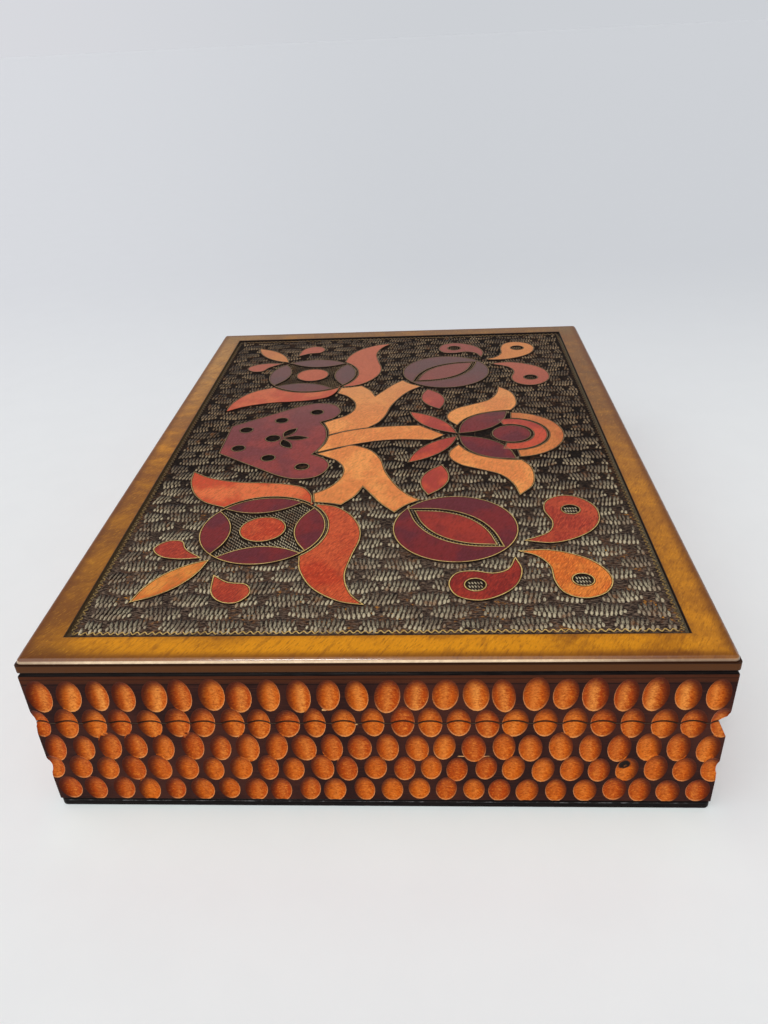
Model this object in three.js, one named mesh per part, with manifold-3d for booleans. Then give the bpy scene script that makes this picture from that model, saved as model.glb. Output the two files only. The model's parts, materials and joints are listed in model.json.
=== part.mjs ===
// A carved trinket box: a shallow wooden case with a hinged lid.
// Millimetres, +Z up. X runs along the length and Y across the width, with the front at -Y.
// The origin is the middle of the underside.
import * as THREE from 'three';
import { ConvexGeometry } from 'three/addons/geometries/ConvexGeometry.js';
import { mergeVertices } from 'three/addons/utils/BufferGeometryUtils.js';
import Module from 'manifold-3d';

const wasm = await Module();
wasm.setup();

// Overall size
const length = 288;
const width = 204;
const height = 60;

// Boards and walls
const lidBoardThickness = 4.5;
const baseBoardThickness = 3;
const wallThickness = 9;
const splitHeight = 35.8; // middle of the parting line
const splitGap = 0.3; // between the rims of the closed box
const lidOverhang = 0.1; // the lid board stands this far out beyond the walls
const baseBoardOverhang = 0.1; // the base board does the same

// Moulded edge of the lid board
const lidCornerRadius = 3.5;
const lidBandHeight = 2.8; // plain band under the rounded edge
const lidBandStep = 0.35; // the rounded edge starts this far inside the band
const lidEdgeRound = 2;
const lidUnderRound = 0.4;

// Recessed panel that the carving stands in
const panelDepth = 0.8;
const panelBorderX = 11;
const panelBorderY = 10.4;
const carvingDrop = 0.15; // the raised figures end this far below the border
const carvingStep = 6; // longest straight piece of a carved outline

// The drawing of the carving: half its panel, and the line that it is mirrored about
const drawing = { halfX: 133, halfY: 91.6, mirrorX: -1.2 };

// Blackened chamfer along the top of the walls
const reveal = { depth: 1, height: 1.3 };

// Gouged scoops: staggered rows on every side, each a little taller than the one below
const scoopRows = 5;
const scoopRowGrowth = 1.045;
const scoopBottomMargin = 5.4; // from the base board to the middle of the lowest row
const scoopTopMargin = 8.6; // from the lid board to the middle of the top row
const scoopNesting = 1.14; // height of a scoop over the pitch of its row
const scoopPitch = 8.4; // along a row, about
const scoopWidth = 7;
const scoopDepth = 1.45;
const scoopEndGaps = [4.5, 1.3]; // from the end of a side to the first scoop, in turn
const scoopSides = 6;

// Base board edge
const baseCornerRadius = 2;
const baseEdgeRound = 0.5;

// V-groove along the back, where the two slopes meet when the lid is fully open
const grooveDepth = 2.5;
const lidSlope = THREE.MathUtils.degToRad(40);
const baseSlope = THREE.MathUtils.degToRad(64);

// Butt hinges
const hingeEndDistance = 55; // from the end of the box to the middle of a hinge
const hingeLength = 30;
const leafThickness = 0.9;
const leafMargin = 0.5; // from a leaf's edge to the inner face of the wall
const barrelRadius = 1.7;
const pinRadius = 0.75;
const pinClearance = 0.15;
const pinSetback = 0.2; // at each end of the barrel
const knuckleGap = 0.3;
const middleKnuckleShare = 1 / 3;
const pocketClearance = 0.3;
const leafClearance = 0.2; // at the ends of a leaf in its recess

// Countersunk screws of the hinges
const screwHeadRadius = 1.35;
const screwHeadHeight = 0.8;
const screwShankRadius = 0.6;
const screwLength = 7;
const screwTipLength = 1.4;
const screwClearance = 0.2;
const screwEndDistance = 5; // from the end of a leaf to a screw

// How round the curved surfaces are
const roundSteps = 6;
const circleSides = 24;
const arcStep = 20; // degrees between the points of an arc in the carving

// Places that follow from the sizes
const wallHalfLength = length / 2 - lidOverhang;
const wallHalfWidth = width / 2 - lidOverhang;
const insideHalfLength = wallHalfLength - wallThickness;
const insideHalfWidth = wallHalfWidth - wallThickness;
const lidRim = splitHeight + splitGap / 2;
const baseRim = splitHeight - splitGap / 2;
const wallTop = height - lidBoardThickness;
const panelHalfX = length / 2 - panelBorderX;
const panelHalfY = width / 2 - panelBorderY;
const hingeAxis = { y: wallHalfWidth - grooveDepth, z: splitHeight };
const leafReach = hingeAxis.y - insideHalfWidth - leafMargin;
const middleKnuckle = hingeLength * middleKnuckleShare;
const pocketRadius = barrelRadius + pocketClearance;
const overcut = 1; // how far a cutter runs past the face that it opens
const scoopLift = 0.3; // the same for a scoop's cutter, which stays clear of its neighbours

// Finishes
const finish = (color, roughness, metalness = 0) =>
  new THREE.MeshStandardMaterial({ color, roughness, metalness });
const amberWood = finish(0xb47a26, 0.35);
const carvedWood = finish(0xb25a22, 0.45);
const blackLacquer = finish(0x15110f, 0.2);
const brass = finish(0xb8923f, 0.35, 1);
const steel = finish(0x9a9690, 0.35, 1);

// Solids and back
function toSolid(geometry) {
  const bare = geometry.index ? geometry.toNonIndexed() : geometry.clone();
  bare.deleteAttribute('normal');
  bare.deleteAttribute('uv');
  const merged = mergeVertices(bare, 1e-4);
  return new wasm.Manifold(new wasm.Mesh({
    numProp: 3,
    vertProperties: new Float32Array(merged.attributes.position.array),
    triVerts: new Uint32Array(merged.index.array),
  }));
}

function toGeometry(solid) {
  const mesh = solid.getMesh();
  const geometry = new THREE.BufferGeometry();
  geometry.setAttribute('position', new THREE.BufferAttribute(mesh.vertProperties, 3));
  geometry.setIndex(new THREE.BufferAttribute(mesh.triVerts, 1));
  geometry.computeVertexNormals();
  return geometry;
}

// A box between two corners
function block(low, high) {
  const size = high.map((value, i) => value - low[i]);
  const middle = high.map((value, i) => (value + low[i]) / 2);
  return toSolid(new THREE.BoxGeometry(...size).translate(...middle));
}

// A round bar along X, centred on the hinge axis
function hingeBar(radius, x0, x1) {
  const bar = new THREE.CylinderGeometry(radius, radius, x1 - x0, circleSides);
  bar.rotateZ(Math.PI / 2).translate((x0 + x1) / 2, hingeAxis.y, hingeAxis.z);
  return toSolid(bar);
}

// A prism along X whose section is drawn in Y and Z
function prismAlongX(section, x0, x1) {
  const corners = [x0, x1].flatMap((x) => section.map(([y, z]) => new THREE.Vector3(x, y, z)));
  return toSolid(new ConvexGeometry(corners));
}

// Outline of a rectangle with round corners, anticlockwise
function roundedOutline(halfX, halfY, radius) {
  const points = [];
  const corners = [[1, 1], [-1, 1], [-1, -1], [1, -1]];
  corners.forEach(([sx, sy], corner) => {
    for (let step = 0; step <= roundSteps; step += 1) {
      const angle = (corner + step / roundSteps) * Math.PI / 2;
      points.push([
        sx * (halfX - radius) + radius * Math.cos(angle),
        sy * (halfY - radius) + radius * Math.sin(angle),
      ]);
    }
  });
  return points;
}

// A board whose edge follows a profile of insets and heights, listed from the bottom up
function mouldedBoard(halfX, halfY, cornerRadius, profile) {
  const rings = profile.map(([inset, z]) => {
    const radius = Math.max(cornerRadius - inset, 0.2);
    return roundedOutline(halfX - inset, halfY - inset, radius).map(([x, y]) => [x, y, z]);
  });
  const count = rings[0].length;
  const positions = rings.flat(2);
  const index = [];
  for (let ring = 0; ring < rings.length - 1; ring += 1) {
    for (let i = 0; i < count; i += 1) {
      const next = (i + 1) % count;
      const a = ring * count + i;
      const b = ring * count + next;
      index.push(a, b, b + count, a, b + count, a + count);
    }
  }
  const top = (rings.length - 1) * count;
  for (let i = 1; i < count - 1; i += 1) {
    index.push(0, i + 1, i, top, top + i, top + i + 1);
  }
  const geometry = new THREE.BufferGeometry();
  geometry.setAttribute('position', new THREE.Float32BufferAttribute(positions, 3));
  geometry.setIndex(index);
  return toSolid(geometry);
}

// A quarter round as steps of inset and height, between two angles in quarter turns
function quarterRound(radius, inset, z, rises) {
  return Array.from({ length: roundSteps + 1 }, (_, step) => {
    const angle = (step / roundSteps) * Math.PI / 2;
    return rises
      ? [inset + radius * (1 - Math.cos(angle)), z + radius * Math.sin(angle)]
      : [inset + radius * (1 - Math.sin(angle)), z - radius * Math.cos(angle)];
  });
}

const box = new THREE.Group();

function place(name, solid, material) {
  const mesh = new THREE.Mesh(toGeometry(solid), material);
  mesh.name = name;
  box.add(mesh);
}

// Outlines of the carving. A point with a third value is a sharp corner, and what lies
// between two of them is one smooth curve.
const onCircle = ([x, y], radius, degrees) => {
  const angle = THREE.MathUtils.degToRad(degrees);
  return [x + radius * Math.cos(angle), y + radius * Math.sin(angle)];
};

function arc(centre, radius, start, end) {
  const steps = Math.ceil(Math.abs(end - start) / arcStep);
  const points = Array.from({ length: steps + 1 }, (_, step) => (
    onCircle(centre, radius, start + (end - start) * step / steps)));
  return [[...points[0], 1], ...points.slice(1, -1), [...points.at(-1), 1]];
}

function circle(centre, radius) {
  return Array.from({ length: circleSides }, (_, side) => (
    [...onCircle(centre, radius, side * 360 / circleSides), 1]));
}

// Two bows between two tips, each swelling by its own amount
function lens([ax, ay], [bx, by], bulge, otherBulge = bulge) {
  const reach = Math.hypot(bx - ax, by - ay);
  const middle = (swell) => [
    (ax + bx) / 2 + (by - ay) / reach * swell,
    (ay + by) / 2 - (bx - ax) / reach * swell,
  ];
  return [[ax, ay, 1], middle(bulge), [bx, by, 1], middle(-otherBulge)];
}

// The mirror image, turned round so that it still runs the same way
const flipped = (points) => (
  points.map(([x, ...rest]) => [2 * drawing.mirrorX - x, ...rest]).reverse());

// The points on the right, from bottom to top, and back down the left
const bothHalves = (points) => [...points, ...flipped(points)];

// The round figures: petals stand at four turns of the rosette, and bows open over the tulip
const rosette = {
  centre: [73.6, -41.8],
  radius: 22.1,
  gap: 1.35, // to the two petals that hold it
  disc: 8.1,
  turns: [90, 188, 4, 275],
  petalHalf: 40.5, // degrees from the middle of a petal to its tip
};
const aroundRosette = rosette.radius + rosette.gap;
const pomegranate = { centre: [74.2, 26.3], radius: 21.6 };
const tulip = {
  centre: [drawing.mirrorX, 52.6],
  heart: 8.1,
  bows: [{ inner: 9.5, outer: 15.1, start: -17 }, { inner: 16.1, outer: 22, start: 4 }],
};

function rosettePetal(turn) {
  const { centre, radius, petalHalf } = rosette;
  const outer = arc(centre, radius, turn - petalHalf, turn + petalHalf);
  const bow = radius * (2 * Math.cos(THREE.MathUtils.degToRad(petalHalf)) - 1);
  return [...outer, onCircle(centre, bow, turn)];
}

function tulipBow({ inner, outer, start }) {
  const end = 180 - start;
  return [...arc(tulip.centre, inner, start, end), ...arc(tulip.centre, outer, end, start)];
}

// Figures on the right half, which stand mirrored on the left half too
const mirroredFigures = [
  // three commas round the pomegranate
  { outline: [[83.4, 49.5, 1], [84.9, 58], [82.8, 65.4], [77.6, 72.6], [70.1, 76.7], [61, 76.5],
    [54.6, 71.6], [53.2, 65.5], [56.8, 60], [63.4, 58.4], [71.6, 60.3], [78.4, 57.9]] },
  { outline: [[89.7, 46.7, 1], [89.3, 56.2], [92.4, 65], [98.1, 71.5], [106.1, 74.2], [113, 71.2],
    [115.9, 64.5], [113.3, 58.8], [106.8, 56.4], [98.6, 56], [92.6, 52.4]] },
  { outline: [[93.5, 45.3, 1], [101, 46.7], [108.9, 44.2], [114.3, 38.6], [116.6, 32], [114.2, 25.6],
    [108, 23.3], [102.3, 25.7], [101, 31.3], [102.4, 37.6], [100, 42.6]] },
  // pomegranate and its seed
  {
    outline: circle(pomegranate.centre, pomegranate.radius),
    hole: lens([60.9, 9.6], [86.9, 42.3], 9.3),
  },
  { outline: lens([62.5, 12.1], [85.6, 40], 7.5) },
  // rosette
  { outline: circle(rosette.centre, rosette.disc) },
  ...rosette.turns.map((turn) => ({ outline: rosettePetal(turn) })),
  // two petals that hold the rosette
  { outline: [[58.4, -17.7], [64, -11.7], [72.3, -7.7], [81, -6.8], [91.8, -8.9],
    [103, -10.2], [112.6, -7.6], [118.4, -3, 1], [116.2, -11.3], [109.5, -19.8], [99.8, -25],
    ...arc(rosette.centre, aroundRosette, 41, 133)] },
  { outline: [[49.6, -27.4], [43.6, -31.2], [40.6, -38.5], [39.2, -47.6], [38.2, -58],
    [34.6, -69.2], [28.8, -77.6, 1], [38, -76.5], [47.2, -72.8], [53.6, -67.3],
    ...arc(rosette.centre, aroundRosette, 227.5, 138.5)] },
  // drops and leaf in the corner
  { outline: [[101.9, -53, 1], [105.9, -47.6], [107.2, -41.4], [112.1, -39.4], [116.7, -42.8], [116, -48],
    [111.2, -51.8]] },
  { outline: [[91.5, -60, 1], [92, -67.4], [90.2, -74], [85.5, -77.6], [81, -74.4], [81, -69],
    [86.2, -66.2]] },
  { outline: lens([92.9, -56.9], [116, -76.5], 4.5) },
  // leaves and petals round the tulip
  { outline: lens([26.8, 22.4], [50.8, 16.9], 5.2) },
  { outline: lens([0.2, 29.5], [24, 8.8], 4.5) },
  { outline: lens([0.2, 30.3], [22.4, 52.6], 6.3, 7.4) },
  { outline: [[8.4, 29.8, 1], [14.6, 26], [20.6, 26], [26.6, 30], [30.6, 36.8], [35.6, 45], [43.2, 49.3],
    [52, 51, 1], [44.8, 56.4], [36, 58], [29, 57.3], [23.7, 54.6, 1], [22.9, 48], [20.2, 39.8],
    [15.2, 33.6]] },
];

// Figures on the middle line, and the two branching stems, which differ at their feet
const singleFigures = [
  // pot
  { outline: bothHalves([[12.2, -71, 1], [19.2, -61.8], [26.6, -51.8], [33.4, -42.4], [36.4, -34.4],
    [34.2, -26.8], [26.4, -23.1], [19.2, -25.8], [15, -31.4, 1], [8.4, -28.4], [1.6, -27.1]]) },
  // stems
  { outline: [[13.4, -30, 1], [8, -18.8], [3.6, -6], [2.3, 4], [2.8, 12], [3.4, 18.8, 1], [-1.2, 24, 1],
    [-11.4, 13.4, 1], [-11.2, 2], [-9.8, -9], [-6.8, -19], [-2.6, -26.1, 1], [5, -26.9]] },
  { outline: [[14.6, -29.4, 1], [10.2, -21], [7.4, -14.8], [12.2, -7], [20.8, -2.4], [32, 0.2], [43, 4.6],
    [50, 8.9], [54.6, 13.6, 1], [58.4, 8.4], [63.3, 4.6, 1], [56.8, -0.5], [50, -4.4], [43.5, -8.1, 1],
    [50.6, -10.6], [57.2, -15.4, 1], [55.8, -20], [54.9, -25.6, 1], [48.6, -26.6, 1], [44.4, -21.6],
    [37.2, -17.6], [29, -16.8], [21.8, -19.9], [17.2, -25.4]] },
  { outline: [[-16.6, -29.6, 1], [-9, -27], [-3.6, -26.2, 1], [-7.6, -18.6], [-10.4, -9.4, 1],
    [-15.4, -5.2], [-23.2, -2.2], [-34.4, 0.2], [-45.4, 4.6], [-52.4, 8.9], [-57, 13.6, 1], [-60.8, 8.4],
    [-65.7, 4.6, 1], [-59.2, -0.5], [-52.4, -4.4], [-45.9, -8.1, 1], [-53, -10.6], [-59.6, -15.4, 1],
    [-58.2, -20], [-57.3, -25.6, 1], [-51, -26.6, 1], [-46.8, -21.6], [-39.6, -17.6], [-31.4, -16.8],
    [-24.2, -19.9], [-19.6, -25.4]] },
  // tulip
  { outline: circle(tulip.centre, tulip.heart) },
  ...tulip.bows.map((bow) => ({ outline: tulipBow(bow) })),
];

// The outline's points on the panel, with long curves in short straight pieces
function onPanel(points) {
  const corners = points.flatMap((point, i) => (point.length > 2 ? [i] : []));
  return corners.flatMap((start, i) => {
    const end = corners[i + 1] ?? corners[0] + points.length;
    const run = Array.from({ length: end - start + 1 }, (_, step) => {
      const [x, y] = points[(start + step) % points.length];
      return new THREE.Vector2(x * panelHalfX / drawing.halfX, y * panelHalfY / drawing.halfY);
    });
    const curve = new THREE.SplineCurve(run);
    return curve.getSpacedPoints(Math.ceil(curve.getLength() / carvingStep)).slice(0, -1);
  });
}

// The raised figures of the panel, rooted in its floor
function addCarving(board) {
  const mirrored = mirroredFigures.map(({ outline, hole }) => (
    { outline: flipped(outline), hole: hole && flipped(hole) }));
  const floor = height - panelDepth - carvingDrop;
  let carved = board;
  for (const { outline, hole } of [...mirroredFigures, ...mirrored, ...singleFigures]) {
    const shape = new THREE.Shape(onPanel(outline));
    if (hole) shape.holes.push(new THREE.Path(onPanel(hole)));
    const figure = new THREE.ExtrudeGeometry(shape, { depth: panelDepth, bevelEnabled: false });
    carved = carved.add(toSolid(figure.translate(0, 0, floor)));
  }
  return carved;
}

// Boards
function lidBoard() {
  const bandTop = wallTop + lidBandHeight;
  const edgeHeight = height - bandTop;
  const round = Math.min(lidEdgeRound, edgeHeight);
  const profile = [
    ...quarterRound(lidUnderRound, 0, wallTop + lidUnderRound, false),
    [0, bandTop],
    [lidBandStep, bandTop],
    ...quarterRound(round, lidBandStep, height - round, true),
  ].filter(([inset, z], i, all) => i === 0 || inset !== all[i - 1][0] || z !== all[i - 1][1]);
  const panel = block(
    [-panelHalfX, -panelHalfY, height - panelDepth],
    [panelHalfX, panelHalfY, height + overcut],
  );
  const board = mouldedBoard(length / 2, width / 2, lidCornerRadius, profile).subtract(panel);
  return addCarving(board);
}

function baseBoard() {
  const profile = [
    ...quarterRound(baseEdgeRound, 0, baseEdgeRound, false),
    ...quarterRound(baseEdgeRound, 0, baseBoardThickness - baseEdgeRound, true),
  ];
  const halfX = wallHalfLength + baseBoardOverhang;
  const halfY = wallHalfWidth + baseBoardOverhang;
  return mouldedBoard(halfX, halfY, baseCornerRadius, profile);
}

// Hinge screws: a section turned round Z, with the head's face at z = 0 and the tip below
function screwAt(x, y, z, pointsUp, clearance) {
  const section = clearance > 0
    ? [
      [0, overcut],
      [screwHeadRadius + clearance, overcut],
      [screwHeadRadius + clearance, 0],
      [screwShankRadius + clearance, -screwHeadHeight],
      [screwShankRadius + clearance, -(screwLength + clearance)],
      [0, -(screwLength + clearance)],
    ]
    : [
      [0, 0],
      [screwHeadRadius, 0],
      [screwShankRadius, -screwHeadHeight],
      [screwShankRadius, screwTipLength - screwLength],
      [0, -screwLength],
    ];
  const points = section.reverse().map(([radius, along]) => new THREE.Vector2(radius, along));
  const turned = new THREE.LatheGeometry(points, circleSides / 2).rotateX(Math.PI / 2);
  if (pointsUp) turned.rotateX(Math.PI);
  return toSolid(turned.translate(x, y, z));
}

const halves = {
  lid: { rim: lidRim, up: 1 },
  base: { rim: baseRim, up: -1 },
};
const hinges = {
  hinge_left: -(length / 2 - hingeEndDistance),
  hinge_right: length / 2 - hingeEndDistance,
};
const screwY = hingeAxis.y - (pocketRadius + leafReach) / 2;
const screwOffsets = [-1, 1].map((side) => side * (hingeLength / 2 - screwEndDistance));

// One leaf lies in its rim, with its knuckles round the pin
function hingeLeaf(x, half) {
  const { rim, up } = halves[half];
  const end = hingeLength / 2;
  const middle = middleKnuckle / 2;
  const outer = [[x - end, x - middle - knuckleGap / 2], [x + middle + knuckleGap / 2, x + end]];
  const inner = [[x - middle + knuckleGap / 2, x + middle - knuckleGap / 2]];
  const own = half === 'base' ? outer : inner;
  const other = half === 'base' ? inner : outer;
  const faces = [rim, rim + up * leafThickness].sort((a, b) => a - b);
  let leaf = block(
    [x - end, hingeAxis.y - leafReach, faces[0]],
    [x + end, hingeAxis.y, faces[1]],
  );
  for (const [x0, x1] of other) {
    leaf = leaf.subtract(hingeBar(pocketRadius, x0 - knuckleGap, x1 + knuckleGap));
  }
  for (const [x0, x1] of own) leaf = leaf.add(hingeBar(barrelRadius, x0, x1));
  leaf = leaf.subtract(hingeBar(pinRadius + pinClearance, x - end - overcut, x + end + overcut));
  for (const offset of screwOffsets) {
    leaf = leaf.subtract(screwAt(x + offset, screwY, rim, up > 0, screwClearance));
  }
  return leaf;
}

// What a hinge takes out of the wall that carries it
function hingeCut(wall, x, half) {
  const { rim, up } = halves[half];
  const end = hingeLength / 2 + leafClearance;
  const faces = [rim - up * overcut, rim + up * leafThickness].sort((a, b) => a - b);
  let cut = wall
    .subtract(hingeBar(pocketRadius, x - end, x + end))
    .subtract(block(
      [x - end, hingeAxis.y - leafReach - leafClearance, faces[0]],
      [x + end, hingeAxis.y, faces[1]],
    ));
  for (const offset of screwOffsets) {
    cut = cut.subtract(screwAt(x + offset, screwY, rim, up > 0, screwClearance));
  }
  return cut;
}

// The rows of scoops, from the bottom up
function scoopRowList() {
  const weights = Array.from({ length: scoopRows - 1 }, (_, row) => scoopRowGrowth ** row);
  const total = weights.reduce((sum, weight) => sum + weight, 0);
  const lowest = baseBoardThickness + scoopBottomMargin;
  const unit = (wallTop - scoopTopMargin - lowest) / total;
  let z = lowest;
  return Array.from({ length: scoopRows }, (_, row) => {
    const pitch = unit * scoopRowGrowth ** row;
    const place = { z, height: pitch * scoopNesting, endGap: scoopEndGaps[row % 2] };
    z += pitch;
    return place;
  });
}

// Every scoop is a dent with flat facets, cut by a cone that points into the wood
function gouge(ring) {
  const coneLength = scoopDepth + scoopLift;
  const flare = coneLength / scoopDepth / 2;
  let gouged = ring;
  for (let side = 0; side < 4; side += 1) {
    const [half, reach] = side % 2 === 0
      ? [wallHalfLength, wallHalfWidth]
      : [wallHalfWidth, wallHalfLength];
    for (const row of scoopRowList()) {
      const span = 2 * (half - row.endGap);
      const steps = Math.round(span / scoopPitch);
      for (let step = 0; step <= steps; step += 1) {
        const cone = new THREE.ConeGeometry(1, coneLength, scoopSides)
          .scale(scoopWidth * flare, 1, row.height * flare)
          .translate(span * (step / steps - 1 / 2), scoopDepth - coneLength / 2 - reach, row.z)
          .rotateZ(side * Math.PI / 2);
        gouged = gouged.subtract(toSolid(cone));
      }
    }
  }
  return gouged;
}

// A ring of walls, cut from one block so that the four pieces line up all round
function wallRing(low, high, half) {
  const rectangle = (halfX, halfY, z) => [[-1, -1], [1, -1], [1, 1], [-1, 1]]
    .map(([sx, sy]) => new THREE.Vector3(sx * halfX, sy * halfY, z));
  const outside = half === 'lid'
    ? [
      ...rectangle(wallHalfLength, wallHalfWidth, low),
      ...rectangle(wallHalfLength, wallHalfWidth, high - reveal.height),
      ...rectangle(wallHalfLength - reveal.depth, wallHalfWidth - reveal.depth, high),
    ]
    : [
      ...rectangle(wallHalfLength, wallHalfWidth, low),
      ...rectangle(wallHalfLength, wallHalfWidth, high),
    ];
  const { rim, up } = halves[half];
  const rise = grooveDepth * Math.tan(half === 'lid' ? lidSlope : baseSlope);
  const run = (grooveDepth + overcut) / grooveDepth;
  const groove = prismAlongX([
    [hingeAxis.y, rim],
    [hingeAxis.y + grooveDepth * run, rim + up * rise * run],
    [hingeAxis.y + grooveDepth * run, rim - up * overcut],
    [hingeAxis.y, rim - up * overcut],
  ], -length, length);
  return toSolid(new ConvexGeometry(outside))
    .subtract(block(
      [-insideHalfLength, -insideHalfWidth, low - overcut],
      [insideHalfLength, insideHalfWidth, high + overcut],
    ))
    .subtract(groove);
}

function addWalls(half, low, high) {
  const ring = gouge(wallRing(low, high, half));
  const parts = {
    front_wall: [[-insideHalfLength, -width], [insideHalfLength, 0]],
    back_wall: [[-insideHalfLength, 0], [insideHalfLength, width]],
    left_wall: [[-length, -width], [-insideHalfLength, width]],
    right_wall: [[insideHalfLength, -width], [length, width]],
  };
  for (const [name, [near, far]] of Object.entries(parts)) {
    let wall = ring.intersect(block([...near, low - overcut], [...far, high + overcut]));
    if (name === 'back_wall') {
      for (const x of Object.values(hinges)) wall = hingeCut(wall, x, half);
    }
    place(`${half}_${name}`, wall, carvedWood);
  }
}

place('base_board', baseBoard(), blackLacquer);
addWalls('base', baseBoardThickness, baseRim);
place('lid_board', lidBoard(), amberWood);
addWalls('lid', lidRim, wallTop);

for (const [hinge, x] of Object.entries(hinges)) {
  const pinEnd = hingeLength / 2 - pinSetback;
  place(`${hinge}_pin`, hingeBar(pinRadius, x - pinEnd, x + pinEnd), steel);
  for (const [half, { rim, up }] of Object.entries(halves)) {
    place(`${hinge}_${half}_leaf`, hingeLeaf(x, half), brass);
    screwOffsets.forEach((offset, i) => {
      const screw = screwAt(x + offset, screwY, rim, up > 0, 0);
      place(`${hinge}_${half}_screw_${i + 1}`, screw, brass);
    });
  }
}

export default box;
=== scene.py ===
import json
import math
import random

import bpy
import numpy as np
from mathutils import Matrix, Quaternion, Vector


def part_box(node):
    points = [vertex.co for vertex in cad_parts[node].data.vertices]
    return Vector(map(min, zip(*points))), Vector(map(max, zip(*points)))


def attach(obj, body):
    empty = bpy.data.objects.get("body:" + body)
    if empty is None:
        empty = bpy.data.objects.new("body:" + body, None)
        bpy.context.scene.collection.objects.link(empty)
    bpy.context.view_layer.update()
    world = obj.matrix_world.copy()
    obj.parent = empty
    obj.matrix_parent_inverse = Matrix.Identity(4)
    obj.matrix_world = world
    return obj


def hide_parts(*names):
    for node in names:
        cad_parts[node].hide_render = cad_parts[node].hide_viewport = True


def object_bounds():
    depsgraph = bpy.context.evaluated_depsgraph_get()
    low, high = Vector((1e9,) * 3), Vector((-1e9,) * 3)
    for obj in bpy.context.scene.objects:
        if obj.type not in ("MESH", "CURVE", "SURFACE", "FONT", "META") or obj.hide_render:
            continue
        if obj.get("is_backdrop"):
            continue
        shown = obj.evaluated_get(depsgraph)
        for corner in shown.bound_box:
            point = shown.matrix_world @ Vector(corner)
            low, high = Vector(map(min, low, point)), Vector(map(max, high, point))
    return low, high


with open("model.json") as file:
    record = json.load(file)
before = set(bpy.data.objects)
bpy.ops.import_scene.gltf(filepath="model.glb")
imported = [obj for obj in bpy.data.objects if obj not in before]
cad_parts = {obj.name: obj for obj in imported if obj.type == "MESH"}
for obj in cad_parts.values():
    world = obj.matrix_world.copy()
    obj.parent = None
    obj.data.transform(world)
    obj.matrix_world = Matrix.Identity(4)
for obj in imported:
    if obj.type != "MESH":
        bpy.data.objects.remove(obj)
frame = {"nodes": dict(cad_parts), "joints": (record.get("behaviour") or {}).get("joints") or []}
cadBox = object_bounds()
print("frame loaded:", sorted(frame["nodes"]))

# Folk-carved box. The sizes below are in millimetres and become metres where a mesh is made.
mm = 0.001


# Small helpers for working as by hand
def deselectAll():
    if bpy.context.mode != "OBJECT":
        bpy.ops.object.mode_set(mode="OBJECT")
    bpy.ops.object.select_all(action="DESELECT")


def makeActive(piece):
    deselectAll()
    piece.select_set(True)
    bpy.context.view_layer.objects.active = piece


def applyPlace(piece):
    makeActive(piece)
    bpy.ops.object.transform_apply(location=True, rotation=True, scale=True)


def addBlock(name, low, high):
    deselectAll()
    low, high = Vector(low), Vector(high)
    bpy.ops.mesh.primitive_cube_add(size=1, location=(low + high) / 2)
    block = bpy.context.object
    block.name = name
    block.scale = high - low
    applyPlace(block)
    return block


def addBar(name, radius, x0, x1, y, z, sides=48):
    deselectAll()
    bpy.ops.mesh.primitive_cylinder_add(
        vertices=sides, radius=radius, depth=x1 - x0,
        location=((x0 + x1) / 2, y, z), rotation=(0, math.pi / 2, 0),
    )
    bar = bpy.context.object
    bar.name = name
    applyPlace(bar)
    return bar


def startSelecting(piece, kind):
    makeActive(piece)
    bpy.ops.object.mode_set(mode="EDIT")
    bpy.ops.mesh.select_mode(type=kind)
    bpy.ops.mesh.select_all(action="DESELECT")
    bpy.ops.object.mode_set(mode="OBJECT")


def selectFaces(piece, wanted):
    startSelecting(piece, "FACE")
    for face in piece.data.polygons:
        face.select = bool(wanted(face.center, face.normal))
    bpy.ops.object.mode_set(mode="EDIT")


def bevelEdges(piece, wanted, size, segments):
    startSelecting(piece, "EDGE")
    vertices = piece.data.vertices
    for edge in piece.data.edges:
        a, b = (vertices[i].co for i in edge.vertices)
        edge.select = bool(wanted(a, b))
    bpy.ops.object.mode_set(mode="EDIT")
    bpy.ops.mesh.bevel(offset=size * mm, segments=segments)
    bpy.ops.object.mode_set(mode="OBJECT")


def markRectangle(piece, halfX, halfY, wanted):
    # parts the wanted faces along the four sides of a rectangle
    for point, normal in (((halfX, 0, 0), (1, 0, 0)), ((-halfX, 0, 0), (1, 0, 0)),
                          ((0, halfY, 0), (0, 1, 0)), ((0, -halfY, 0), (0, 1, 0))):
        selectFaces(piece, wanted)
        bpy.ops.mesh.bisect(plane_co=point, plane_no=normal)
        bpy.ops.object.mode_set(mode="OBJECT")


def sliceOff(piece, point, normal):
    # removes what lies beyond the plane and closes the cut
    makeActive(piece)
    bpy.ops.object.mode_set(mode="EDIT")
    bpy.ops.mesh.select_all(action="SELECT")
    bpy.ops.mesh.bisect(plane_co=point, plane_no=normal, use_fill=True, clear_outer=True)
    bpy.ops.object.mode_set(mode="OBJECT")


def finishWith(piece, kind, **settings):
    makeActive(piece)
    modifier = piece.modifiers.new(kind.lower(), kind)
    for name, value in settings.items():
        setattr(modifier, name, value)
    bpy.ops.object.modifier_apply(modifier=modifier.name)


def cutWith(piece, cutter, solver="MANIFOLD"):
    finishWith(piece, "BOOLEAN", object=cutter, operation="DIFFERENCE", solver=solver)
    bpy.data.objects.remove(cutter)


def uniteWith(piece, other):
    finishWith(piece, "BOOLEAN", object=other, operation="UNION", solver="MANIFOLD")
    bpy.data.objects.remove(other)


def joinAll(pieces, name):
    deselectAll()
    for piece in pieces:
        piece.select_set(True)
    bpy.context.view_layer.objects.active = pieces[0]
    if len(pieces) > 1:
        bpy.ops.object.join()
    pieces[0].name = name
    return pieces[0]


def shadeByAngle(piece, degrees):
    makeActive(piece)
    bpy.ops.object.shade_smooth_by_angle(angle=math.radians(degrees))


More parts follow.
